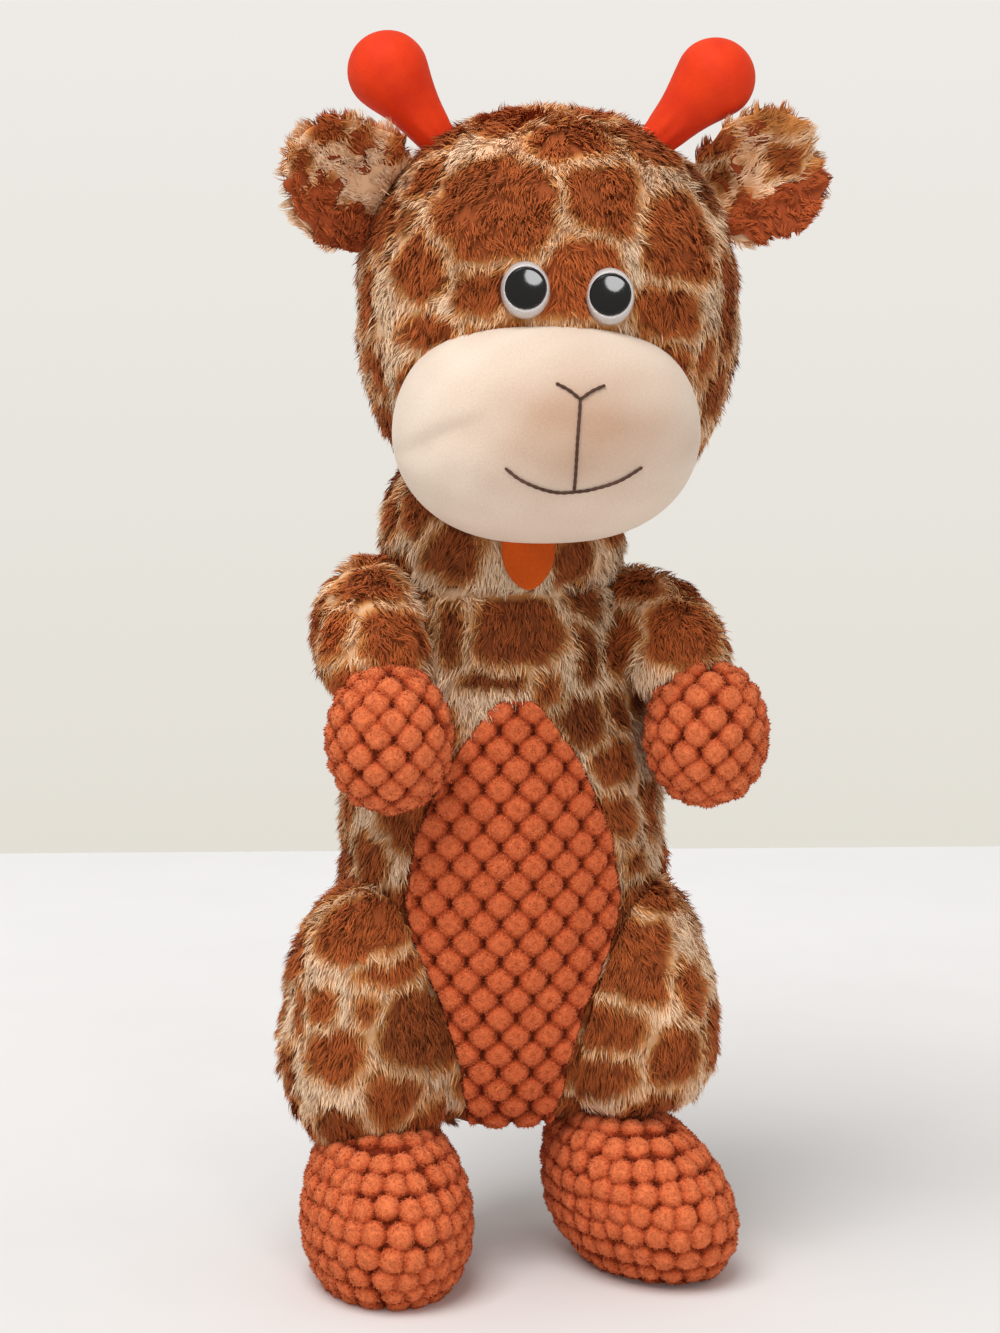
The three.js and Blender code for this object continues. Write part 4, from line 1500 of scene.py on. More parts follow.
# Patches of the front, given one by one
HEAD_SPOTS: tuple[Spot, ...] = (
    (498, 212, 55, 44, 0), (602, 194, 37, 33, 0), (678, 238, 38, 39, 0), (576, 279, 37, 39, 0.4),
    (421, 266, 28, 28, 0.1), (485, 294, 24, 26, 0), (372, 294, 14, 37, 0), (428, 331, 30, 15, 0),
    (378, 371, 16, 26, 0), (668, 312, 31, 26, 0), (726, 305, 17, 48, -0.1), (705, 360, 15, 20, 0),
    (506, 120, 41, 15, 0.2), (569, 142, 37, 20, 0.1), (646, 142, 37, 22, 0), (428, 179, 18, 26, 0),
    (698, 186, 22, 22, -0.8), (412, 222, 11, 17, -0.8),
)
TORSO_SPOTS: tuple[Spot, ...] = (
    (489, 577, 17, 10, -0.2), (581, 587, 17, 27, -0.8), (514, 633, 40, 29, -0.5), (452, 634, 18, 25, -0.9),
    (500, 679, 30, 10, -1.0), (547, 690, 15, 16, -0.2), (584, 651, 12, 25, -1.0), (577, 722, 25, 20, -0.9),
    (614, 706, 13, 20, -1.0), (634, 690, 14, 18, -0.3), (612, 762, 22, 20, -0.3), (611, 817, 24, 20, -0.2),
    (649, 808, 13, 27, -0.1), (371, 856, 23, 22, -0.3), (352, 804, 12, 18, 0.1), (630, 866, 16, 18, -0.3),
)
NECK_SPOTS: tuple[Spot, ...] = ((394, 516, 17, 27, 0.4), (452, 548, 28, 26, -0.5), (573, 560, 20, 22, -0.5))
SLEEVE_SPOTS: dict[str, tuple[Spot, ...]] = {
    "right": ((390, 564, 30, 23, 0.4), (394, 636, 32, 28, 0.1), (337, 634, 18, 31, 0.6)),
    "left": ((636, 583, 31, 15, 0), (622, 636, 15, 24, -0.1), (682, 633, 31, 29, 0), (636, 691, 13, 16, -0.2)),
}
EAR_SPOTS: dict[str, tuple[Spot, ...]] = {
    "right": (
        (331, 122, 14, 17, 0.1), (362, 136, 10, 14, 0.0), (402, 146, 13, 12, 0.5), (401, 200, 8, 16, -0.9),
        (322, 192, 16, 13, 0), (346, 220, 20, 14, 0.1), (302, 166, 10, 13, 0),
    ),
    "left": (
        (776, 112, 34, 25, 1.0), (712, 142, 25, 15, 0.2), (738, 205, 12, 16, -0.2), (722, 182, 10, 16, -0.9),
        (786, 160, 24, 17, -0.5), (782, 212, 26, 13, 0), (815, 178, 12, 22, -0.1), (750, 150, 12, 14, 1.0),
    ),
}
THIGH_SPOTS: dict[str, tuple[Spot, ...]] = {
    "right": (
        (360, 930, 39, 27, 0.1), (395, 972, 34, 16, 0), (323, 1006, 14, 15, 0), (374, 1009, 15, 15, 0),
        (419, 1024, 38, 42, -0.8), (337, 1056, 27, 21, -0.1),
        (394, 1099, 26, 30, -0.2), (344, 1128, 24, 19, -0.8),
        (300, 1009, 8, 22, 0), (294, 1085, 10, 37, 0),
    ),
    "left": (
        (652, 897, 30, 15, -0.1), (635, 960, 34, 42, -0.3),
        (604, 1022, 40, 24, -0.4), (594, 1074, 40, 22, -0.5),
        (675, 1056, 27, 27, -0.2), (690, 990, 18, 25, -0.1),
    ),
}


class Slot(Enum):
    """The record's material slots."""

    PLUSH = "giraffe_plush"
    BUBBLE = "bubble_plush"
    VELOUR = "velour"
    VELVET = "velvet"
    LINING = "ear_lining"
    FELT = "felt"
    THREAD = "thread"
    STUFFING = "stuffing"
    WHITE = "eye_white"
    BLACK = "eye_black"
    WASHER = "washer_plastic"
    SQUEAKER = "squeaker_plastic"

# What each slot is made of, with the common name of its finish
FINISHES: dict[Slot, tuple[str, Finish]] = {
    Slot.PLUSH: ("giraffe_print_plush", GiraffePlush()),
    Slot.BUBBLE: ("chenille_bubble_plush", BubblePlush()),
    # Warm cream, paler round its rim as a painted sheen and darker over its middle as painted shade
    Slot.VELOUR: (
        "cream_velour", ShortNap("#ECDCCA", "#C29F87", "#FFF6EA", 0.5, 0.12, sheen_weight=0.25, painted_sheen_and_shade=True)
    ),
    # Strong orange, deep in its shade, with a narrow bright rim
    Slot.VELVET: ("orange_velvet", ShortNap("#E83A06", "#DA3004", "#FF7A38", 0.5, 0.12, 0.7, 0.13, 0.25)),
    # The brown of the patches without their print, furry in the ears
    Slot.LINING: ("rust_minky", GiraffePlush(patch="#C9602F", patch_root="#8A3A1A")),
    # Dull burnt orange, coarse and fibrous
    Slot.FELT: ("orange_wool_felt", ShortNap("#C4500E", "#B2450A", "#FFB070", 0.9, 0.3)),
    # Dark brown with the soft shine of twisted thread
    Slot.THREAD: ("brown_embroidery_floss", ShortNap("#593E32", "#483025", "#80604C", 0.4, 0.1, 0.6)),
    # Off-white, fluffy and matt
    Slot.STUFFING: ("polyester_fibrefill", ShortNap("#F2F0EA", "#E2DFD6", "#FFFFFF", 1.4, 1.2)),
    # Milky grey-white that lets a little light in, with a thin gloss
    Slot.WHITE: ("moulded_white_acrylic", Moulded("#CBC4C1", 0.3, 0.2, 0.4)),
    # Near black with sharp highlights
    Slot.BLACK: ("moulded_black_acrylic", Moulded("#050506", 0.06, specular=0.35)),
    # Waxy white with broad dull highlights
    Slot.WASHER: ("moulded_polypropylene", Moulded("#EDEBE4", 0.45, ior=1.5)),
    # Yellowish white, duller still
    Slot.SQUEAKER: ("blown_polyethylene", Moulded("#E8E2D0", 0.5, ior=1.52)),
}


@dataclass
class Workshop:
    """What every sub-assembly shares: the frame, the toy's forms, the view and the finishes."""

    frame: dict
    toy: Toy
    view: PhotoView
    materials: dict[Slot, bpy.types.Material]

    def piece(
        self,
        name: str,
        surface: Surface,
        slot: Slot,
        body: str,
        nodes: Sequence[str] = (),
        fill: float | None = None,
        blend: Blend | None = None,
    ) -> bpy.types.Object:
        """Make one piece and say what it rides on and stands for.

        Args:
            name: The piece's name.
            surface: Its arrays.
            slot: Its finish.
            body: The body that it rides on.
            nodes: The nodes that it replaces.
            fill: How tightly it is stuffed, if it is. Not used.
            blend: The body that it is also sewn to, and the places between which it turns
                from that one to its own.

        Returns:
            The object.
        """
        thing = put_mesh(name, surface, self.materials[slot])
        if blend is None:
            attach(thing, body)
        else:
            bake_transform(thing)
        if nodes:
            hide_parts(*nodes)
        LOG.info("%s: %d triangles", name, len(surface.quads) * 2 + len(surface.triangles))
        return thing

    def plush(
        self,
        name: str,
        cover: Cover,
        spots: Sequence[Spot],
        body: str,
        hidden_by: Sequence[Form],
        seed: int,
        cut: PileCut = PileCut(),
        nap: Nap = nap_down,
        keep_also: Keep | None = None,
        rings: int = 90,
        sides: int = 150,
        fill: float = 0.6,
        blend: Blend | None = None,
        bare_front: bool = False,
        thickness: float = 2.0,
        shade: float = 0.0,
        halves: bool = False,
    ) -> None:
        """Make a plush cover and its pile.

        Args:
            name: Its node, after which the pieces are named.
            cover: The cover.
            spots: The patches of its front.
            body: The body that it rides on.
            hidden_by: Forms under which no pile grows.
            seed: Seed of the patches, with the next ones for the pile.
            cut: How the pile stands.
            nap: The way it is brushed.
            keep_also: Which roots grow a hair, where not all do.
            rings: Steps of the backing from pole to pole.
            sides: Points of a ring.
            fill: How tightly the cover is stuffed.
            blend: The body that it is also sewn to, and where it turns to its own.
            bare_front: Whether the front gets no other patches.
            thickness: Of the backing.
            shade: How much darker or lighter the cover is.
            halves: Whether the pile is made as a front and a back half.
        """
        printed = lay_print(cover, self.view, spots, seed, bare_front=bare_front, shade=shade)
        surface = hollow(cover, rings, sides, thickness)
        brown, patch_tone = printed.read(surface.points)
        tone = np.clip(0.42 + 0.4 * patch_tone, 0, 1)
        surface.values = {"print": brown, "tone": tone, "along": np.full(len(brown), 0.4)}
        self.piece(f"{name}_plush", surface, Slot.PLUSH, body, [name], fill, blend)

        def keep(roots: Array, sign: int) -> Array:
            """Say which roots grow a hair.

            Args:
                roots: The roots.
                sign: -1 for the front half, 1 for the back half, 0 for all.

            Returns:
                Whether each does.
            """
            kept = sign * (roots[:, 1] - cover.form.middle[1]) >= 0
            if keep_also is not None:
                kept &= keep_also(roots)
            for form in hidden_by:
                kept &= form.fullness(roots, 0.4) > 1
            return kept

        for half, sign in (("_front", -1), ("_back", 1)) if halves else (("", 0),):
            pile = grow_pile(
                cover, cut, printed, nap, lambda roots, sign=sign: keep(roots, sign), seed + 1 + (sign > 0)
            )
            self.piece(f"{name}{half}_pile", pile, Slot.PLUSH, body, blend=blend)

    def bubbles(self, name: str, surface: Surface, body: str, node: str, fill: float, seed: int) -> None:
        """Make a piece of bubble plush with its fine curls."""
        self.piece(f"{name}_bubbles", surface, Slot.BUBBLE, body, [node], fill)
        self.piece(f"{name}_curls", grow_fuzz(surface, 2.2, 1.2, 0.5, seed), Slot.BUBBLE, body)

    def filling(
        self, name: str, covers: Sequence[Cover], body: str, fill: float, seed: int, blend: Blend | None = None
    ) -> None:
        """Make the fibre filling inside covers, a soft lumpy wad in each.

        Args:
            name: The filling's node.
            covers: The covers, of which the last one's wad stands for the node.
            body: The body that it rides on.
            fill: How tightly it is stuffed.
            seed: Seed of the lumps.
            blend: Where the last cover is also sewn to another body.
        """
        for number, cover in enumerate(covers, 1):
            surface = cover_surface(replace(cover, wrinkle=1.1, wrinkle_size=13.0, seed=seed), 36, 48, -3.6)
            if number < len(covers):
                self.piece(f"{name}_{number}_wad", surface, Slot.STUFFING, body, [], fill)
            else:
                self.piece(f"{name}_wad", surface, Slot.STUFFING, body, [name], fill, blend)


@dataclass
class BeddedCover(Cover):
    """A cover with the bed of another piece pressed into it."""

    bed: Callable[[Array], Array] | None = None  # how deep it is at each point

    def at(self, angle: Array, turn: Array, grow: float | Array = 0.0) -> Array:
        """Give points of the cover, moved level towards its axis by the depth of the bed.

        Args:
            angle: The angle from the level plane, up to the poles.
            turn: The turn about the upright axis.
            grow: How far outside the surface the points lie.

        Returns:
            Points as rows.
        """
        points = super().at(angle, turn, grow)
        outward = unit(points - (self.form.middle * [1, 1, 0] + points * [0, 0, 1]))
        return points - outward * self.bed(points)[:, None]


def thick_sheet(
    front: Array, rear: Array, rows: int, columns: int, front_map: Pair, rear_map: Pair, rear_from: float = 0.0
) -> Surface:
    """Close a front and a rear grid of points with a rim.

    Args:
        front: The front's points, row by row.
        rear: The rear's points.
        rows: Number of rows.
        columns: Points of a row.
        front_map: Width and height of the front on the flat map.
        rear_map: Those of the rear.
        rear_from: Where the rear starts across the map.

    Returns:
        The surface.
    """
    row, column = np.divmod(np.arange((rows - 1) * (columns - 1)), columns - 1)
    first = row * columns + column
    quads = np.stack([first, first + 1, first + columns + 1, first + columns], axis=1)
    corners = ((column, row), (column + 1, row), (column + 1, row + 1), (column, row + 1))
    places = np.stack([np.stack([c / (columns - 1), r / (rows - 1)], 1) for c, r in corners], 1)
    count = rows * columns
    bottom, right = np.arange(columns), np.arange(rows) * columns + columns - 1
    top, left = (rows - 1) * columns + np.arange(columns)[::-1], (np.arange(rows) * columns)[::-1]
    loop = np.concatenate([bottom[:-1], right[:-1], top[:-1], left[:-1]])
    following = np.roll(loop, -1)
    rim = np.stack([loop + count, following + count, following, loop], axis=1)
    return Surface(
        np.concatenate([front, rear]),
        np.concatenate([quads, (quads + count)[:, ::-1], rim]),
        quad_places=np.concatenate(
            [places * front_map, (places * rear_map)[:, ::-1] + [rear_from, 0], np.full((len(rim), 4, 2), 0.01)]
        ),
    )


@dataclass
class TorsoWork:
    """The torso: plush cover, bubble-plush belly, filling and squeaker."""

    shop: Workshop
    belly_half_width: float = 34.3
    belly_height: float = 138.2
    belly_inset: float = 1.3  # from the seat up to its lower edge
    belly_bed: float = 3.6  # how deep the cover is sunk behind it
    rear_gap: float = 2.4  # from the ground of the bubbles back to the panel's rear
    belly_outline: Line = (
        (0.0, 0.0), (0.4, 0.01), (0.5, 0.17), (0.68, 0.31), (0.94, 0.45), (1.0, 0.53), (0.9, 0.69),
        (0.57, 0.86), (0.2, 0.98), (0.0, 1.0),
    )  # shares of the half-width and of the height

    def belly_edge(self, z: Array) -> Array:
        """Give the belly's half-width at a height.

        Args:
            z: The heights.

        Returns:
            The half-widths, along the outline with its corners rounded.
        """
        share = (z - self.shop.toy.seat - self.belly_inset) / self.belly_height
        outline = np.array(self.belly_outline)
        fine = np.linspace(0, 1, 201)
        width = np.interp(fine, outline[:, 1], outline[:, 0])
        bell = np.hanning(15)[1:-1] / np.hanning(15).sum()
        soft = np.convolve(np.pad(width, 6, mode="edge"), bell, "same")[6:-6]
        return self.belly_half_width * np.interp(share, fine, soft, left=0, right=0)

    def on_belly(self, points: Array, margin: float) -> Array:
        """Say which points lie on the belly.

        Args:
            points: The points.
            margin: How far inside its edge they have to lie.

        Returns:
            Whether each does.
        """
        toy = self.shop.toy
        x = points[:, 0] - toy.axis[0]
        return (points[:, 1] < toy.axis[1]) & (np.abs(x) < self.belly_edge(points[:, 2]) - margin)

    def bed_depth(self, points: Array) -> Array:
        """Give how deep the cover is sunk under the belly, rising over 2 mm from its edge."""
        inside = self.belly_edge(points[:, 2]) - np.abs(points[:, 0] - self.shop.toy.axis[0])
        return self.belly_bed * smooth_step(0.0, 2.0, inside) * self.on_belly(points, 0.0)

    def belly_middles(self, cut: BubbleCut) -> Array:
        """Set the belly's bubbles in level rows, each a half step on from the last.

        Args:
            cut: The bubbles' sizes.

        Returns:
            Their middles as rows.
        """
        toy, centres = self.shop.toy, []
        for row in range(int(self.belly_height / cut.row) + 2):
            level = toy.seat + self.belly_inset + (row - 0.4) * cut.row
            line = np.linspace(-45, 45, 361)
            lengths = lengths_along(toy.torso.front(toy.axis[0] + line, np.full(361, level), 0.0))
            lengths -= lengths[180]
            along = (np.arange(-5, 6) + 0.5 * (row % 2)) * cut.pitch
            across = toy.axis[0] + np.interp(along, lengths, line)
            centres.append(toy.torso.front(across, np.full(11, level), 0.0))
        return np.concatenate(centres)

    def belly(self) -> Surface:
        """Raise the bubbles of the belly on a grid across and up, with a rear and a rim.

        Returns:
            The panel.
        """
        toy, cut = self.shop.toy, BubbleCut()
        columns, rows = 121, 251
        low = toy.seat + self.belly_inset
        height = low + self.belly_height * np.linspace(0.004, 0.996, rows)
        z, wide = np.meshgrid(height, np.linspace(-1, 1, columns), indexing="ij")
        x = toy.axis[0] + wide * self.belly_edge(z.ravel()).reshape(z.shape)
        ground = toy.torso.front(x.ravel(), z.ravel(), 0.0)
        high, share = cut.heights(ground, self.belly_middles(cut))
        grid = ground.reshape(rows, columns, 3)
        normals = unit(np.cross(np.gradient(grid, axis=1), np.gradient(grid, axis=0))).reshape(-1, 3)

        # The edge is tucked in over 3 mm, by up to 1.4 mm
        to_side = (1 - np.abs(wide)) * 0.5 * columns * 0.5
        edge = np.minimum(to_side, np.minimum(z - low, low + self.belly_height - z)).ravel()
        tuck = smooth_step(0.0, 3.0, edge)
        front = ground + normals * (high * tuck - 1.4 * (1 - tuck))[:, None]
        surface = thick_sheet(front, ground - normals * self.rear_gap, rows, columns, [1, 1], [0.02, 0.02])
        # The belly's rise is held to 0.8 as painted shade, and falls to the creases' painted shade along its
        # tucked edge
        surface.values = {"rise": np.r_[0.8 * share * tuck, np.zeros(rows * columns)]}
        return surface

    def furry(self, roots: Array) -> Array:
        """Say which roots lie clear of the belly, of the seam under it and of the neck's seam.

        Args:
            roots: The roots.

        Returns:
            Whether each grows a hair.
        """
        toy = self.shop.toy
        x, y, z = roots.T
        under = (z < toy.seat + 8) & (np.abs(x - toy.axis[0]) < 17) & (y < toy.axis[1])
        return ~self.on_belly(roots, 0.6) & ~under & (z < toy.neck_seam - 0.1)

    def build(self) -> None:
        """Make the torso's pieces."""
        shop, toy = self.shop, self.shop.toy
        top = toy.neck_seam - 0.4
        cover = BeddedCover(toy.torso, wrinkle=1.0, ceiling=top, seed=3, bed=self.bed_depth)
        # The torso's cover is darkened as painted shade under the head
        shop.plush(
            "torso_cover", cover, TORSO_SPOTS, "torso", [toy.neck], 10,
            keep_also=self.furry, rings=130, sides=200, shade=-0.25, halves=True,
        )
        shop.bubbles("belly", self.belly(), "torso", "belly_panel", 0.6, 12)
        middle = toy.axis[1]
        for end, sign in (("front", -1), ("back", 1)):
            surface = cover_surface(Cover(toy.torso, wrinkle=0.9, ceiling=top, seed=4), 40, 56, -4.6)
            surface.points[:, 1] = sign * np.maximum(sign * (surface.points[:, 1] - middle), 0.3) + middle
            self.clear_squeaker(surface, sign)
            shop.piece(f"torso_{end}_wad", surface, Slot.STUFFING, "torso", [f"torso_filling_{end}"], 0.5)

    def clear_squeaker(self, surface: Surface, sign: int) -> None:
        """Press the squeaker's hollow into a half of the filling.

        Args:
            surface: The half, whose points are moved.
            sign: -1 for the front half, 1 for the back half.
        """
        low, high = (np.array(corner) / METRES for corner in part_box("squeaker"))
        middle, half = (low + high) / 2, (high - low) / 2
        gaps = np.abs(surface.points - middle) / (half + 3)
        depth = (half[1] + 1.0) * (1 - smooth_step(0.9, 1.25, np.hypot(gaps[:, 0], gaps[:, 2])))
        axis = self.shop.toy.axis[1]
        surface.points[:, 1] = axis + sign * np.maximum(sign * (surface.points[:, 1] - axis), depth)


@dataclass
class HeadWork:
    """The neck, head, muzzle, eyes, embroidery and tag."""

    shop: Workshop
    crease_pixels: Line = ((392, 458), (435, 438), (490, 416))
    crease_depth: float = 1.7
    crease_width: float = 5.5
    nose_left: Line = ((556, 383), (569, 390), (580, 399))
    nose_right: Line = ((605, 385), (592, 391), (580, 399))
    lip: Line = ((580, 399), (577, 445), (574, 491))
    eye_out: float = 12.4  # of an eye from the head's middle
    eye_up: float = 7.0
    eye_bare: float = 7.6  # round an eye's seat, free of pile
    horn_bare: float = 5.2
    ear_bare: float = 4.0
    horn_share: float = 0.85  # of the head's rise, where a horn stands
    ear_share: float = 0.54
    ear_back: float = 3.0
    smile: Line = (
        (505, 468), (519, 479), (538, 488), (557, 492.5), (574, 492), (592, 489.5), (619, 481), (642, 467),
    )

    def build(self) -> None:
        """Make the head's pieces."""
        self.cover_neck()
        self.cover_head()
        self.cover_muzzle()
        self.embroider()
        self.hang_tag()
        for side in SIDES:
            EyeWork(self.shop, side, self.eye_seat(side)).build()
            EarWork(self.shop, side, self.ear_seam(side), self.edge(side, self.ear_share)[1]).build()
            HornWork(self.shop, side, self.horn_root(side)).build()
        hidden = {"right_eye_washer": Slot.WASHER, "left_eye_washer": Slot.WASHER, "squeaker": Slot.SQUEAKER}
        for node, slot in hidden.items():
            data = self.shop.frame["nodes"][node].data
            data.materials.clear()
            data.materials.append(self.shop.materials[slot])

    def cover_neck(self) -> None:
        """Make the neck's cover, pile and filling."""
        shop, toy = self.shop, self.shop.toy
        neck = Cover(toy.neck, wrinkle=0.5, floor=toy.neck_seam + 0.3, seed=6)
        seam = toy.at(0, 0, toy.neck_seam)
        collar = ("torso", seam, seam + [0, 0, 14.0])
        hidden_by = [toy.head, toy.muzzle] + [side.sleeve for side in SIDES]
        # The neck's cover is darkened as painted shade under the head
        shop.plush(
            "neck_cover", neck, NECK_SPOTS, "neck", hidden_by, 30, rings=50, sides=90, blend=collar, shade=-0.3,
            keep_also=lambda roots: roots[:, 2] > toy.neck_seam + 0.1,
        )
        shop.filling("neck_filling", [neck], "neck", 0.6, 31, collar)

    def cover_head(self) -> None:
        """Make the head's cover, pile and filling."""
        shop, toy = self.shop, self.shop.toy
        head = Cover(toy.head, [toy.neck], toy.head.middle, gap=0.9, wrinkle=0.9, seed=8)
        shop.plush(
            "head_cover", head, HEAD_SPOTS, "head", [toy.muzzle, toy.neck], 40,
            keep_also=self.furry, rings=130, sides=200, halves=True,
        )
        shop.filling("head_filling", [head], "head", 0.7, 41)

    def furry(self, roots: Array) -> Array:
        """Say which roots on the head lie clear of the eyes, horns and ears.

        Args:
            roots: The roots.

        Returns:
            Whether each grows a hair.
        """
        kept = np.ones(len(roots), bool)
        for side in SIDES:
            kept &= np.linalg.norm((roots - self.eye_seat(side)) * [1, 1, 0.9], axis=1) > self.eye_bare
            kept &= np.linalg.norm(roots - self.horn_root(side), axis=1) > self.horn_bare
            kept &= np.linalg.norm(roots - self.ear_seam(side), axis=1) > self.ear_bare
        return kept

    def cover_muzzle(self) -> None:
        """Make the muzzle's velour, with painted shade over its middle and a paler painted sheen round it, and
        its filling.
        """
        shop, toy = self.shop, self.shop.toy
        anchor = toy.muzzle.middle + [0, -22.0, 0]
        muzzle = Cover(toy.muzzle, [toy.head, toy.neck], anchor, gap=0.5, wrinkle=0.0, seed=9)
        surface = hollow(muzzle, 150, 220, 1.6)
        surface.points = self.creased(surface.points)
        # Painted shade over the muzzle's middle, and a paler painted sheen round its rim
        gap = surface.points - toy.muzzle.middle
        middle = np.exp(-(((gap[:, 0] - 6) / 34) ** 2) - ((gap[:, 2] - 5) / 23) ** 2)
        surface.values = {"painted_sheen_and_shade": np.clip(1 - middle + 0.08 * SoftNoise(19, 14.0).at(surface.points), 0, 1)}
        shop.piece("muzzle_velour", surface, Slot.VELOUR, "head", ["muzzle_cover"], 0.85)
        shop.filling("muzzle_filling", [muzzle], "head", 0.85, 42)

    def creased(self, points: Array) -> Array:
        """Press a fold across the muzzle's cheek.

        Seen from the front it follows a curve, and its depth falls off as a bell on either side,
        half as wide above as below, and as a sine to both ends.

        Args:
            points: Points of the muzzle.

        Returns:
            The moved points.
        """
        muzzle = self.shop.toy.muzzle
        curve = smooth_line(self.shop.view.onto(muzzle, np.array(self.crease_pixels)), 41)[:, [0, 2]]
        gaps = points[:, None, [0, 2]] - curve[None]
        away = np.linalg.norm(gaps, axis=2)
        nearest = away.argmin(axis=1)
        above = gaps[np.arange(len(points)), nearest, 1] > 0
        width = np.where(above, 0.5, 1.0) * self.crease_width
        fade = np.sin(math.pi * np.clip(nearest / 40, 0.02, 0.98)) ** 0.7
        depth = self.crease_depth * np.exp(-((away.min(axis=1) / width) ** 2)) * fade
        return points - unit(points - muzzle.middle) * (depth * (points[:, 1] < muzzle.middle[1]))[:, None]

    def embroider(self) -> None:
        """Sew the nose and mouth through the places where the photograph shows them."""
        muzzle = self.shop.toy.muzzle
        whole = None
        for pixels in (self.nose_left, self.nose_right, self.lip, self.smile):
            flat = smooth_line(self.shop.view.onto(muzzle, np.array(pixels))[:, [0, 2]], 16 * len(pixels))
            x, z = flat.T
            path = muzzle.front(x, z, 0.35)
            wide, high = muzzle.front(x + 0.5, z, 0.35) - path, muzzle.front(x, z + 0.5, 0.35) - path
            tube = thread_tube(path, unit(np.cross(wide, high)), 0.46, 2.2)
            whole = tube if whole is None else whole.joined(tube)
        self.shop.piece("nose_and_mouth_floss", whole, Slot.THREAD, "head", ["nose_and_mouth_stitches"])

    def hang_tag(self) -> None:
        """Cut the felt drop: a pointed round foot that widens to straight sides, gently curled."""
        low, high = (np.array(corner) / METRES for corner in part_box("neck_tag"))
        rows, columns = 61, 31
        t, wide = np.meshgrid(np.linspace(0, 1, rows), np.linspace(-1, 1, columns), indexing="ij")
        swell = (1 - (1 - np.clip(t / 0.7, 0, 1)) ** 2.1) ** 0.62
        half, middle = (high - low) / 2, (high + low) / 2
        x = middle[0] + 0.6 + half[0] * wide * np.maximum(swell, 0.02)
        z = low[2] + 1.8 + (high[2] - low[2] + 1.2) * t
        y = low[1] + 0.5 * half[0] * 0.12 * wide**2 - 1.2 * (1 - t) ** 2
        front = np.stack([x, y, z], -1).reshape(-1, 3)
        edge = np.minimum(1 - np.abs(wide), np.minimum(t, 1 - t) * 1.6).ravel()
        rounding = 0.45 * (1 - np.sqrt(np.clip(1 - (1 - np.clip(edge / 0.09, 0, 1)) ** 2, 0, 1)))
        rear = front + [0, 1.5, 0]
        front[:, 1] += rounding
        rear[:, 1] -= rounding
        surface = thick_sheet(front, rear, rows, columns, [0.48, 1], [0.48, 1], 0.5)
        self.shop.piece("neck_tag_felt", surface, Slot.FELT, "head", ["neck_tag"])

    def eye_seat(self, side: Side) -> Array:
        """Give the place on the head's front where an eye sits."""
        head = self.shop.toy.head
        x, z = head.middle[0] + side.side * self.eye_out, head.middle[2] + self.eye_up + side.eye_rise
        return head.front(np.array([x]), np.array([z]))[0]

    def horn_root(self, side: Side) -> Array:
        """Give the place on the crown where a horn stands."""
        return self.edge(side, self.horn_share)[0]

    def ear_seam(self, side: Side) -> Array:
        """Give the middle of the seam that an ear folds on."""
        return self.edge(side, self.ear_share)[0] + [0, self.ear_back, 0]

    def edge(self, side: Side, share: float) -> tuple[Array, Array]:
        """Give a place on the head's outline and the way out of it.

        Args:
            side: The side.
            share: Its height as a share of the head's rise.

        Returns:
            The place and the way.
        """
        head, angle = self.shop.toy.head, math.asin(share)
        across = head.half_width * math.cos(angle) ** head.top_full
        out = np.array([side.side * head.rise * math.cos(angle), 0, across * head.top_full * math.tan(angle)])
        return head.middle + [side.side * across, 0, head.rise * share], unit(out)


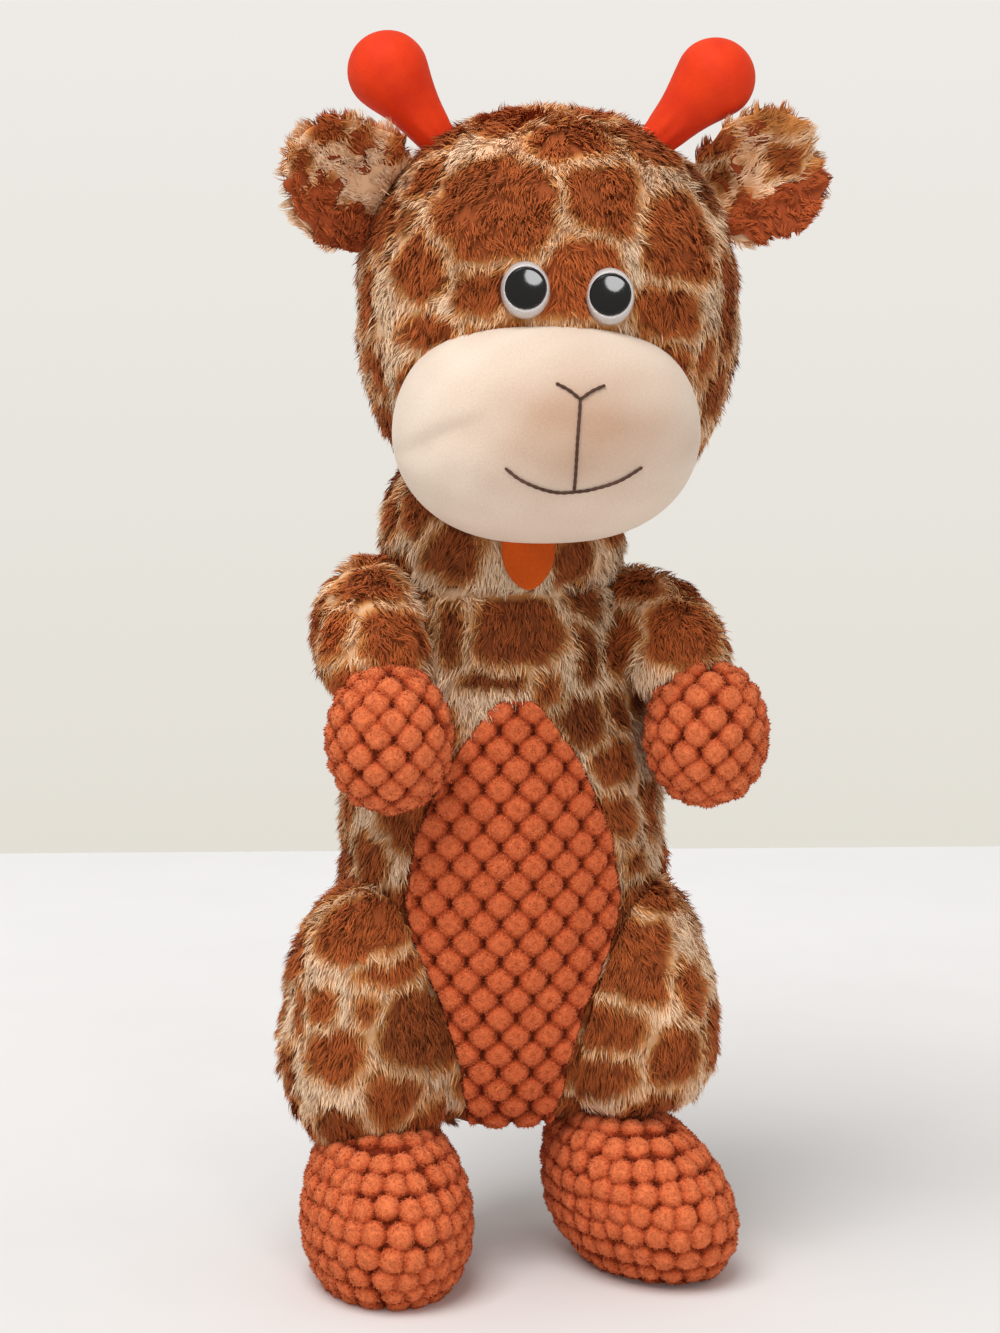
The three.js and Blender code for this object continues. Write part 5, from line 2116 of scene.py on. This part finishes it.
@dataclass
class LimbWork:
    """An arm and a leg of one side: sleeve, paw, thigh, foot and their filling."""

    shop: Workshop
    side: Side
    paw_cut: BubbleCut = BubbleCut(pitch=10.2, row=6.0, radius=4.8, height=3.1, shoulder=4.1, stray=0.4)
    foot_cut: BubbleCut = BubbleCut(
        pitch=7.6, row=7.2, radius=4.7, height=3.1, shoulder=4.0, dimple=0.1, stray=0.5
    )

    def build(self) -> None:
        """Make the limbs' pieces."""
        seed = 100 if self.side.side < 0 else 200
        self.build_arm(seed)
        self.build_leg(seed)

    def build_arm(self, seed: int) -> None:
        """Make the sleeve, the paw and their filling.

        Args:
            seed: The side's seed.
        """
        shop, toy, side = self.shop, self.shop.toy, self.side
        name, arm = side.name, f"{side.name}_arm"
        anchor = side.sleeve.middle + [side.side * 4.0, -4.0, 0]
        sleeve = Cover(side.sleeve, [toy.torso, toy.neck], anchor, seed=seed + 1)
        start = side.sleeve.middle - side.aim * 20.0
        shoulder = ("torso", start, start + side.aim * 16.0)
        shop.plush(
            f"{name}_sleeve", sleeve, SLEEVE_SPOTS[name], arm, [toy.torso, toy.neck, side.paw], seed,
            rings=50, sides=80, blend=shoulder,
        )
        paw = Cover(side.paw, [side.sleeve, toy.torso], side.paw.middle, wrinkle=0.5, seed=seed + 2)
        surface = bubble_surface(paw, self.paw_cut, bubble_rings(side.paw, self.paw_cut, seed), 110, 180)
        shop.bubbles(f"{name}_paw", surface, arm, f"{name}_paw", 0.7, seed + 7)
        shop.filling(f"{name}_arm_filling", [paw, sleeve], arm, 0.6, seed + 3, shoulder)

    def build_leg(self, seed: int) -> None:
        """Make the thigh, the foot and their filling.

        Args:
            seed: The side's seed.
        """
        shop, toy, side = self.shop, self.shop.toy, self.side
        name, leg = side.name, f"{side.name}_leg"
        anchor = side.thigh.middle + [side.side * 16.0, 0, -4.0]
        thigh = Cover(side.thigh, [toy.torso], anchor, seed=seed + 4)
        start = side.thigh.middle + [0, 0, side.thigh.rise]
        hip = ("torso", start - [0, 0, 2.0], start - [0, 0, 26.0])
        shop.plush(
            f"{name}_thigh", thigh, THIGH_SPOTS[name], leg, [toy.torso, side.foot], seed + 10,
            rings=70, sides=110, blend=hip,
        )
        anchor = side.foot.middle - [0, 0, 6.0]
        foot = Cover(side.foot, [side.thigh, toy.torso], anchor, wrinkle=0.6, floor=0.0, seed=seed + 5)
        surface = bubble_surface(foot, self.foot_cut, bubble_rings(side.foot, self.foot_cut, seed), 150, 260)
        shop.bubbles(f"{name}_foot", surface, leg, f"{name}_foot", 0.75, seed + 8)
        shop.filling(f"{name}_leg_filling", [foot, thigh], leg, 0.7, seed + 6, hip)


@dataclass
class EyeWork:
    """A safety eye: a white oval button with a pocket for the black pupil, on a shank."""

    shop: Workshop
    side: Side
    seat: Array
    radius: float = 7.1
    tall: float = 8.3
    pupil_radius: float = 5.9
    pupil_up: float = 0.8  # how far the pupil sits above the button's middle
    pupil_side: float = -0.35  # and to its left, as the viewer sees it
    pupil_bulge: float = 0.27
    pocket_play: float = 0.25  # between the pupil and the wall of its pocket

    def oval_ring(self, share: float, height: float, sides: int) -> Array:
        """Give a ring between the pocket's circle at share 0 and the button's edge at 1.

        Args:
            share: How near the ring lies to the edge.
            height: How far it stands in front of the seat.
            sides: Its points.

        Returns:
            Points as rows.
        """
        turn = 2 * math.pi * np.arange(sides) / sides
        circle = np.stack([np.cos(turn), np.sin(turn)], 1)
        pocket = (self.pupil_radius + self.pocket_play) * circle + [self.pupil_side, self.pupil_up]
        edge = np.stack([self.radius * np.cos(turn), self.tall * np.sin(turn)], 1)
        flat = pocket + (edge - pocket) * share
        return np.stack([flat[:, 0], np.full(sides, -height), flat[:, 1]], 1) + self.seat

    def shank_ring(self, radius: float, height: float, sides: int) -> Array:
        """Give a round ring behind the button."""
        turn = 2 * math.pi * np.arange(sides) / sides
        return np.stack([radius * np.cos(turn), np.full(sides, -height), radius * np.sin(turn)], 1) + self.seat

    def build(self) -> None:
        """Make the button and the pupil."""
        shop, name, sides = self.shop, self.side.name, 64
        shank = ((1.8, -10.9), (2.0, -10.4), (2.0, -2.6), (2.4, -1.6))
        rings = [self.shank_ring(radius, height, sides) for radius, height in shank]
        rings += [self.oval_ring(share, height, sides) for share, height in (
            (0.9, -1.6), (1.0, -1.2), (1.06, 0.0), (1.05, 1.2), (0.98, 2.4), (0.85, 3.5),
            (0.62, 4.4), (0.36, 4.95),
            (0.15, 5.05), (0.03, 4.85), (0.0, 4.5), (0.0, 3.3),
        )]
        foot, head = self.seat + [0, 10.9, 0], self.seat + [self.pupil_side, -3.3, self.pupil_up]
        button = stacked_rings(np.array(rings), foot, head)
        shop.piece(f"{name}_eye_button", button, Slot.WHITE, "head", [f"{name}_eye"])
        out = np.linspace(0.97, 0, 16) * self.pupil_radius
        dome = np.stack([out, 5.3 + self.pupil_bulge * (1 - (out / self.pupil_radius) ** 2)], 1)
        foot = [(0.0, 3.5), (self.pupil_radius - 0.3, 3.5), (self.pupil_radius, 3.8), (self.pupil_radius, 5.1)]
        profile = np.concatenate([foot, dome])
        place = self.seat + [self.pupil_side, 0, self.pupil_up]
        pupil = turned_piece(profile, sides, place, np.array([0.0, -1.0, 0.0]), np.array([1.0, 0.0, 0.0]))
        shop.piece(f"{name}_pupil_dome", pupil, Slot.BLACK, "head", [f"{name}_pupil"])


@dataclass
class EarWork:
    """An ear: a cupped leaf of plush that folds on its seam, with a lining on its front."""

    shop: Workshop
    side: Side
    seam: Array
    out: Array
    length: float = 37.0
    half_width: float = 19.0
    half_thickness: float = 3.0
    cup: float = 9.0
    lining_proud: float = 2.2
    fold_height: float = 6.5  # from the ear's middle down to where the lining starts to show

    def __post_init__(self) -> None:
        """Work out the leaf and its own ways across, back and out."""
        self.across = np.array([self.out[2], 0.0, -self.out[0]])
        self.way_out = turned_about(self.across, self.side.ear_turn) @ self.out
        self.way_back = np.cross(self.way_out, self.across)
        self.turn = np.stack([self.across, self.way_back, self.way_out], axis=1)
        self.middle = self.seam + self.way_out * self.length / 2
        self.leaf = Form(
            self.middle, self.half_width, self.half_thickness, self.length / 2, self.length / 2, 0.7, 0.5,
            cup=self.cup, turn=self.turn,
        )

    def lined(self, points: Array) -> Array:
        """Say which points of the front the lining leaves bare of pile.

        Args:
            points: The points.

        Returns:
            Whether each is bare.
        """
        local = (points - self.middle) @ self.turn
        front = local[:, 1] < -self.cup * (local[:, 0] / self.half_width) ** 2 - 0.6
        return front & (self.open_edge(local) > 0)

    def fan(self, points: Array, normals: Array) -> Array:
        """Brush the pile out from the ear's root."""
        return points - (self.seam - self.way_out * 10)

    def build(self) -> None:
        """Make the leaf, its pile and the lining."""
        shop, side, head = self.shop, self.side, self.shop.toy.head
        body = f"{side.name}_ear"
        start = self.seam + self.way_out * 1.0
        fold = ("head", start, start + self.way_out * 9)
        anchor = self.middle + self.way_out * 6
        cover = Cover(self.leaf, [head], anchor, gap=1.5, wrinkle=1.2, wrinkle_size=17.0, seed=60 + side.side)
        shop.plush(
            f"{side.name}_ear_back", cover, EAR_SPOTS[side.name], body, [head], 60 + side.side,
            cut=PileCut(length=4.4, hairs=15, lift=0.4, clump=0.6), nap=self.fan,
            keep_also=lambda roots: ~self.lined(roots), rings=60, sides=90, fill=0.25, blend=fold,
            bare_front=True, thickness=1.2, shade=0.3,
        )
        inner = replace(self.leaf, middle=self.middle - self.way_back * self.lining_proud)
        ruffled = Cover(inner, [head], anchor, gap=2.0, wrinkle=1.8, wrinkle_size=6.5, seed=70 + side.side)
        nodes = [f"{side.name}_ear_lining"]
        shop.piece(f"{side.name}_ear_minky", self.lining(ruffled), Slot.LINING, body, nodes, 0.2, fold)
        short = PileCut(length=2.8, spacing=2.2, hairs=12, lift=0.3, clump=0.7, stray=0.8)
        pile = grow_pile(
            ruffled, short, EvenPrint(), self.fan,
            lambda roots: self.lined(roots) & (head.fullness(roots, 1.0) > 1), 90 + side.side,
        )
        shop.piece(f"{side.name}_ear_minky_pile", pile, Slot.LINING, body, blend=fold)

    def lining(self, cover: Cover) -> Surface:
        """Tuck a ruffled cover under the edge of the plush that folds over it.

        Args:
            cover: The lining's cover.

        Returns:
            The lining.
        """
        minky = cover_surface(cover, 90, 140)
        local = (minky.points - self.middle) @ self.turn
        shown = smooth_step(-2.5, 1.5, self.open_edge(local))
        local[:, [0, 2]] *= (0.84 + 0.2 * shown)[:, None]
        local[:, 1] += 2.4 * (1 - shown)
        minky.points = local @ self.turn.T + self.middle
        even = {"print": 1, "tone": 0.42, "along": 0.3}
        minky.values = {name: np.full(len(minky.points), value) for name, value in even.items()}
        return minky

    def open_edge(self, local: Array) -> Array:
        """Say how far places lie below the edge of the plush that folds over the lining, in millimetres."""
        down = local[:, 0] * self.side.side
        return down - self.fold_height - 0.12 * local[:, 2] + 1.6 * np.sin(0.5 * local[:, 2])


@dataclass
class HornWork:
    """A horn: a velvet club whose stem widens evenly to a round bulb."""

    shop: Workshop
    side: Side
    root: Array
    length: float = 38.5
    root_radius: float = 5.6
    bulb_radius: float = 12.2

    def build(self) -> None:
        """Turn the club about its axis, with a few soft puckers near its root."""
        shop, side = self.shop, self.side
        axis = np.array([side.side * math.sin(side.horn_turn), 0.0, math.cos(side.horn_turn)])
        bulb = self.length - self.bulb_radius
        wide = np.array([axis[2], 0.0, -axis[0]])
        below = np.radians(np.linspace(-80, -10, 8))
        foot = np.stack([self.root_radius * np.cos(below), self.root_radius * np.sin(below)], 1)
        lean = math.asin((self.bulb_radius - self.root_radius) / bulb)
        around = np.linspace(-lean, math.pi / 2, 26)[:-1]
        cap = np.stack([self.bulb_radius * np.cos(around), bulb + self.bulb_radius * np.sin(around)], 1)
        share = np.linspace(0.08, 0.92, 26)[:, None]
        stem_foot = np.array([self.root_radius * 0.98, 1.0])
        waist = np.stack([-0.6 * np.sin(math.pi * share[:, 0]) ** 2, np.zeros(26)], 1)
        stem = stem_foot + (cap[0] - stem_foot) * share + waist
        profile = np.concatenate([[[0.0, -self.root_radius]], foot, stem, cap, [[0.0, self.length]]])
        surface = turned_piece(profile, 72, self.root, axis, wide)
        local = surface.points - self.root
        height = local @ axis
        radial = local - height[:, None] * axis
        angle = np.arctan2(radial @ np.cross(axis, wide), radial @ wide)
        pucker = 0.035 * np.sin(9 * angle) * np.exp(-(((height - 3) / 6) ** 2))
        soft = 0.012 * SoftNoise(80 + side.side, 14.0).at(surface.points)
        surface.points = surface.points + radial * (pucker + soft)[:, None]
        start = self.root + axis * 1.0
        shop.piece(
            f"{side.name}_horn_velvet", surface, Slot.VELVET, f"{side.name}_horn", [f"{side.name}_horn"], 0.95,
            ("head", start, start + axis * 9.0),
        )


# Studio


def add_area(
    name: str, place: Sequence[float], aim: Sequence[float], size: float, power: float, shape: str = "SQUARE"
) -> None:
    """Hang a soft light that the camera doesn't see.

    Args:
        name: Its name.
        place: Where it hangs, in metres.
        aim: The place that it is turned to.
        size: Its width in metres.
        power: Its power in watts.
        shape: Blender's name for its shape.
    """
    data = bpy.data.lights.new(name, "AREA")
    data.shape, data.size, data.energy = shape, size, power
    back = unit(np.array(place, float) - np.array(aim, float))
    right = unit(np.cross([0.0, 0.0, 1.0], back))
    place_thing(name, data, (right, np.cross(back, right), back), place).visible_camera = False


def add_floor() -> None:
    """Lay the pale floor."""
    corners = [(-2.0, -0.7, 0.0), (2.0, -0.7, 0.0), (2.0, 0.49, 0.0), (-2.0, 0.77, 0.0)]
    mesh = bpy.data.meshes.new("floor")
    mesh.from_pydata(corners, [], [(0, 1, 2, 3)])
    mesh.materials.append(PaintedBoard().make("matt_painted_board"))
    floor = bpy.data.objects.new("floor", mesh)
    bpy.context.scene.collection.objects.link(floor)


def add_world() -> None:
    """Set the world: soft light, and a pale background where the camera, gloss or glass sees it."""
    world = bpy.data.worlds.new("studio")
    world.use_nodes = True
    tree = world.node_tree
    tree.nodes.clear()
    light = add_node(tree, "Background", {"Color": linear("#FAF8F6"), "Strength": 0.56})
    # The backdrop is darker towards the floor line as painted shade
    way = add_node(tree, "SeparateXYZ", [add_node(tree, "TexCoord", output="Generated")], "Z")
    height = add_node(tree, "MapRange", [way, -0.21, 0.02])
    wall = add_node(tree, "Mix", {0: height, 6: linear("#E3DFD5"), 7: linear("#EEEBE7")}, 2, **COLOURS)
    seen = add_node(tree, "Background", {"Color": wall, "Strength": 1.0})
    rays = add_node(tree, "LightPath").node.outputs
    shown = rays["Is Camera Ray"]
    for ray in ("Is Glossy Ray", "Is Transmission Ray"):
        shown = add_node(tree, "Math", [shown, rays[ray]], operation="MAXIMUM")
    add_node(tree, "OutputWorld", {"Surface": add_node(tree, "MixShader", [shown, light, seen])})
    bpy.context.scene.world = world


def main() -> None:
    """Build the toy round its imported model."""
    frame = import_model()
    joint = next(joint for joint in frame["joints"] if joint["name"] == "neck_turn")
    axis = np.array(joint["pos_m"][:2]) / METRES
    toy = Toy(axis)
    for side in SIDES:
        side.place_forms(toy)
    view = PhotoView(np.array([axis[0] - 0.7, axis[1], 187.0]))
    materials = {slot: finish.make(name) for slot, (name, finish) in FINISHES.items()}
    shop = Workshop(frame, toy, view, materials)
    TorsoWork(shop).build()
    HeadWork(shop).build()
    for side in SIDES:
        LimbWork(shop, side).build()
    view.add_camera()
    add_floor()
    add_area("key_light", (-0.8, -1.15, 2.8), (0.0, 0.0, 0.2), 1.8, 67.0)
    add_area("eye_light", (0.27, -1.5, 0.4), (0.0, 0.0, 0.3), 0.27, 3.3, "DISK")
    add_world()
    bpy.context.scene.view_settings.view_transform = "Standard"


if __name__ == "__main__":
    logging.basicConfig(level=logging.INFO, format="%(message)s")
    main()
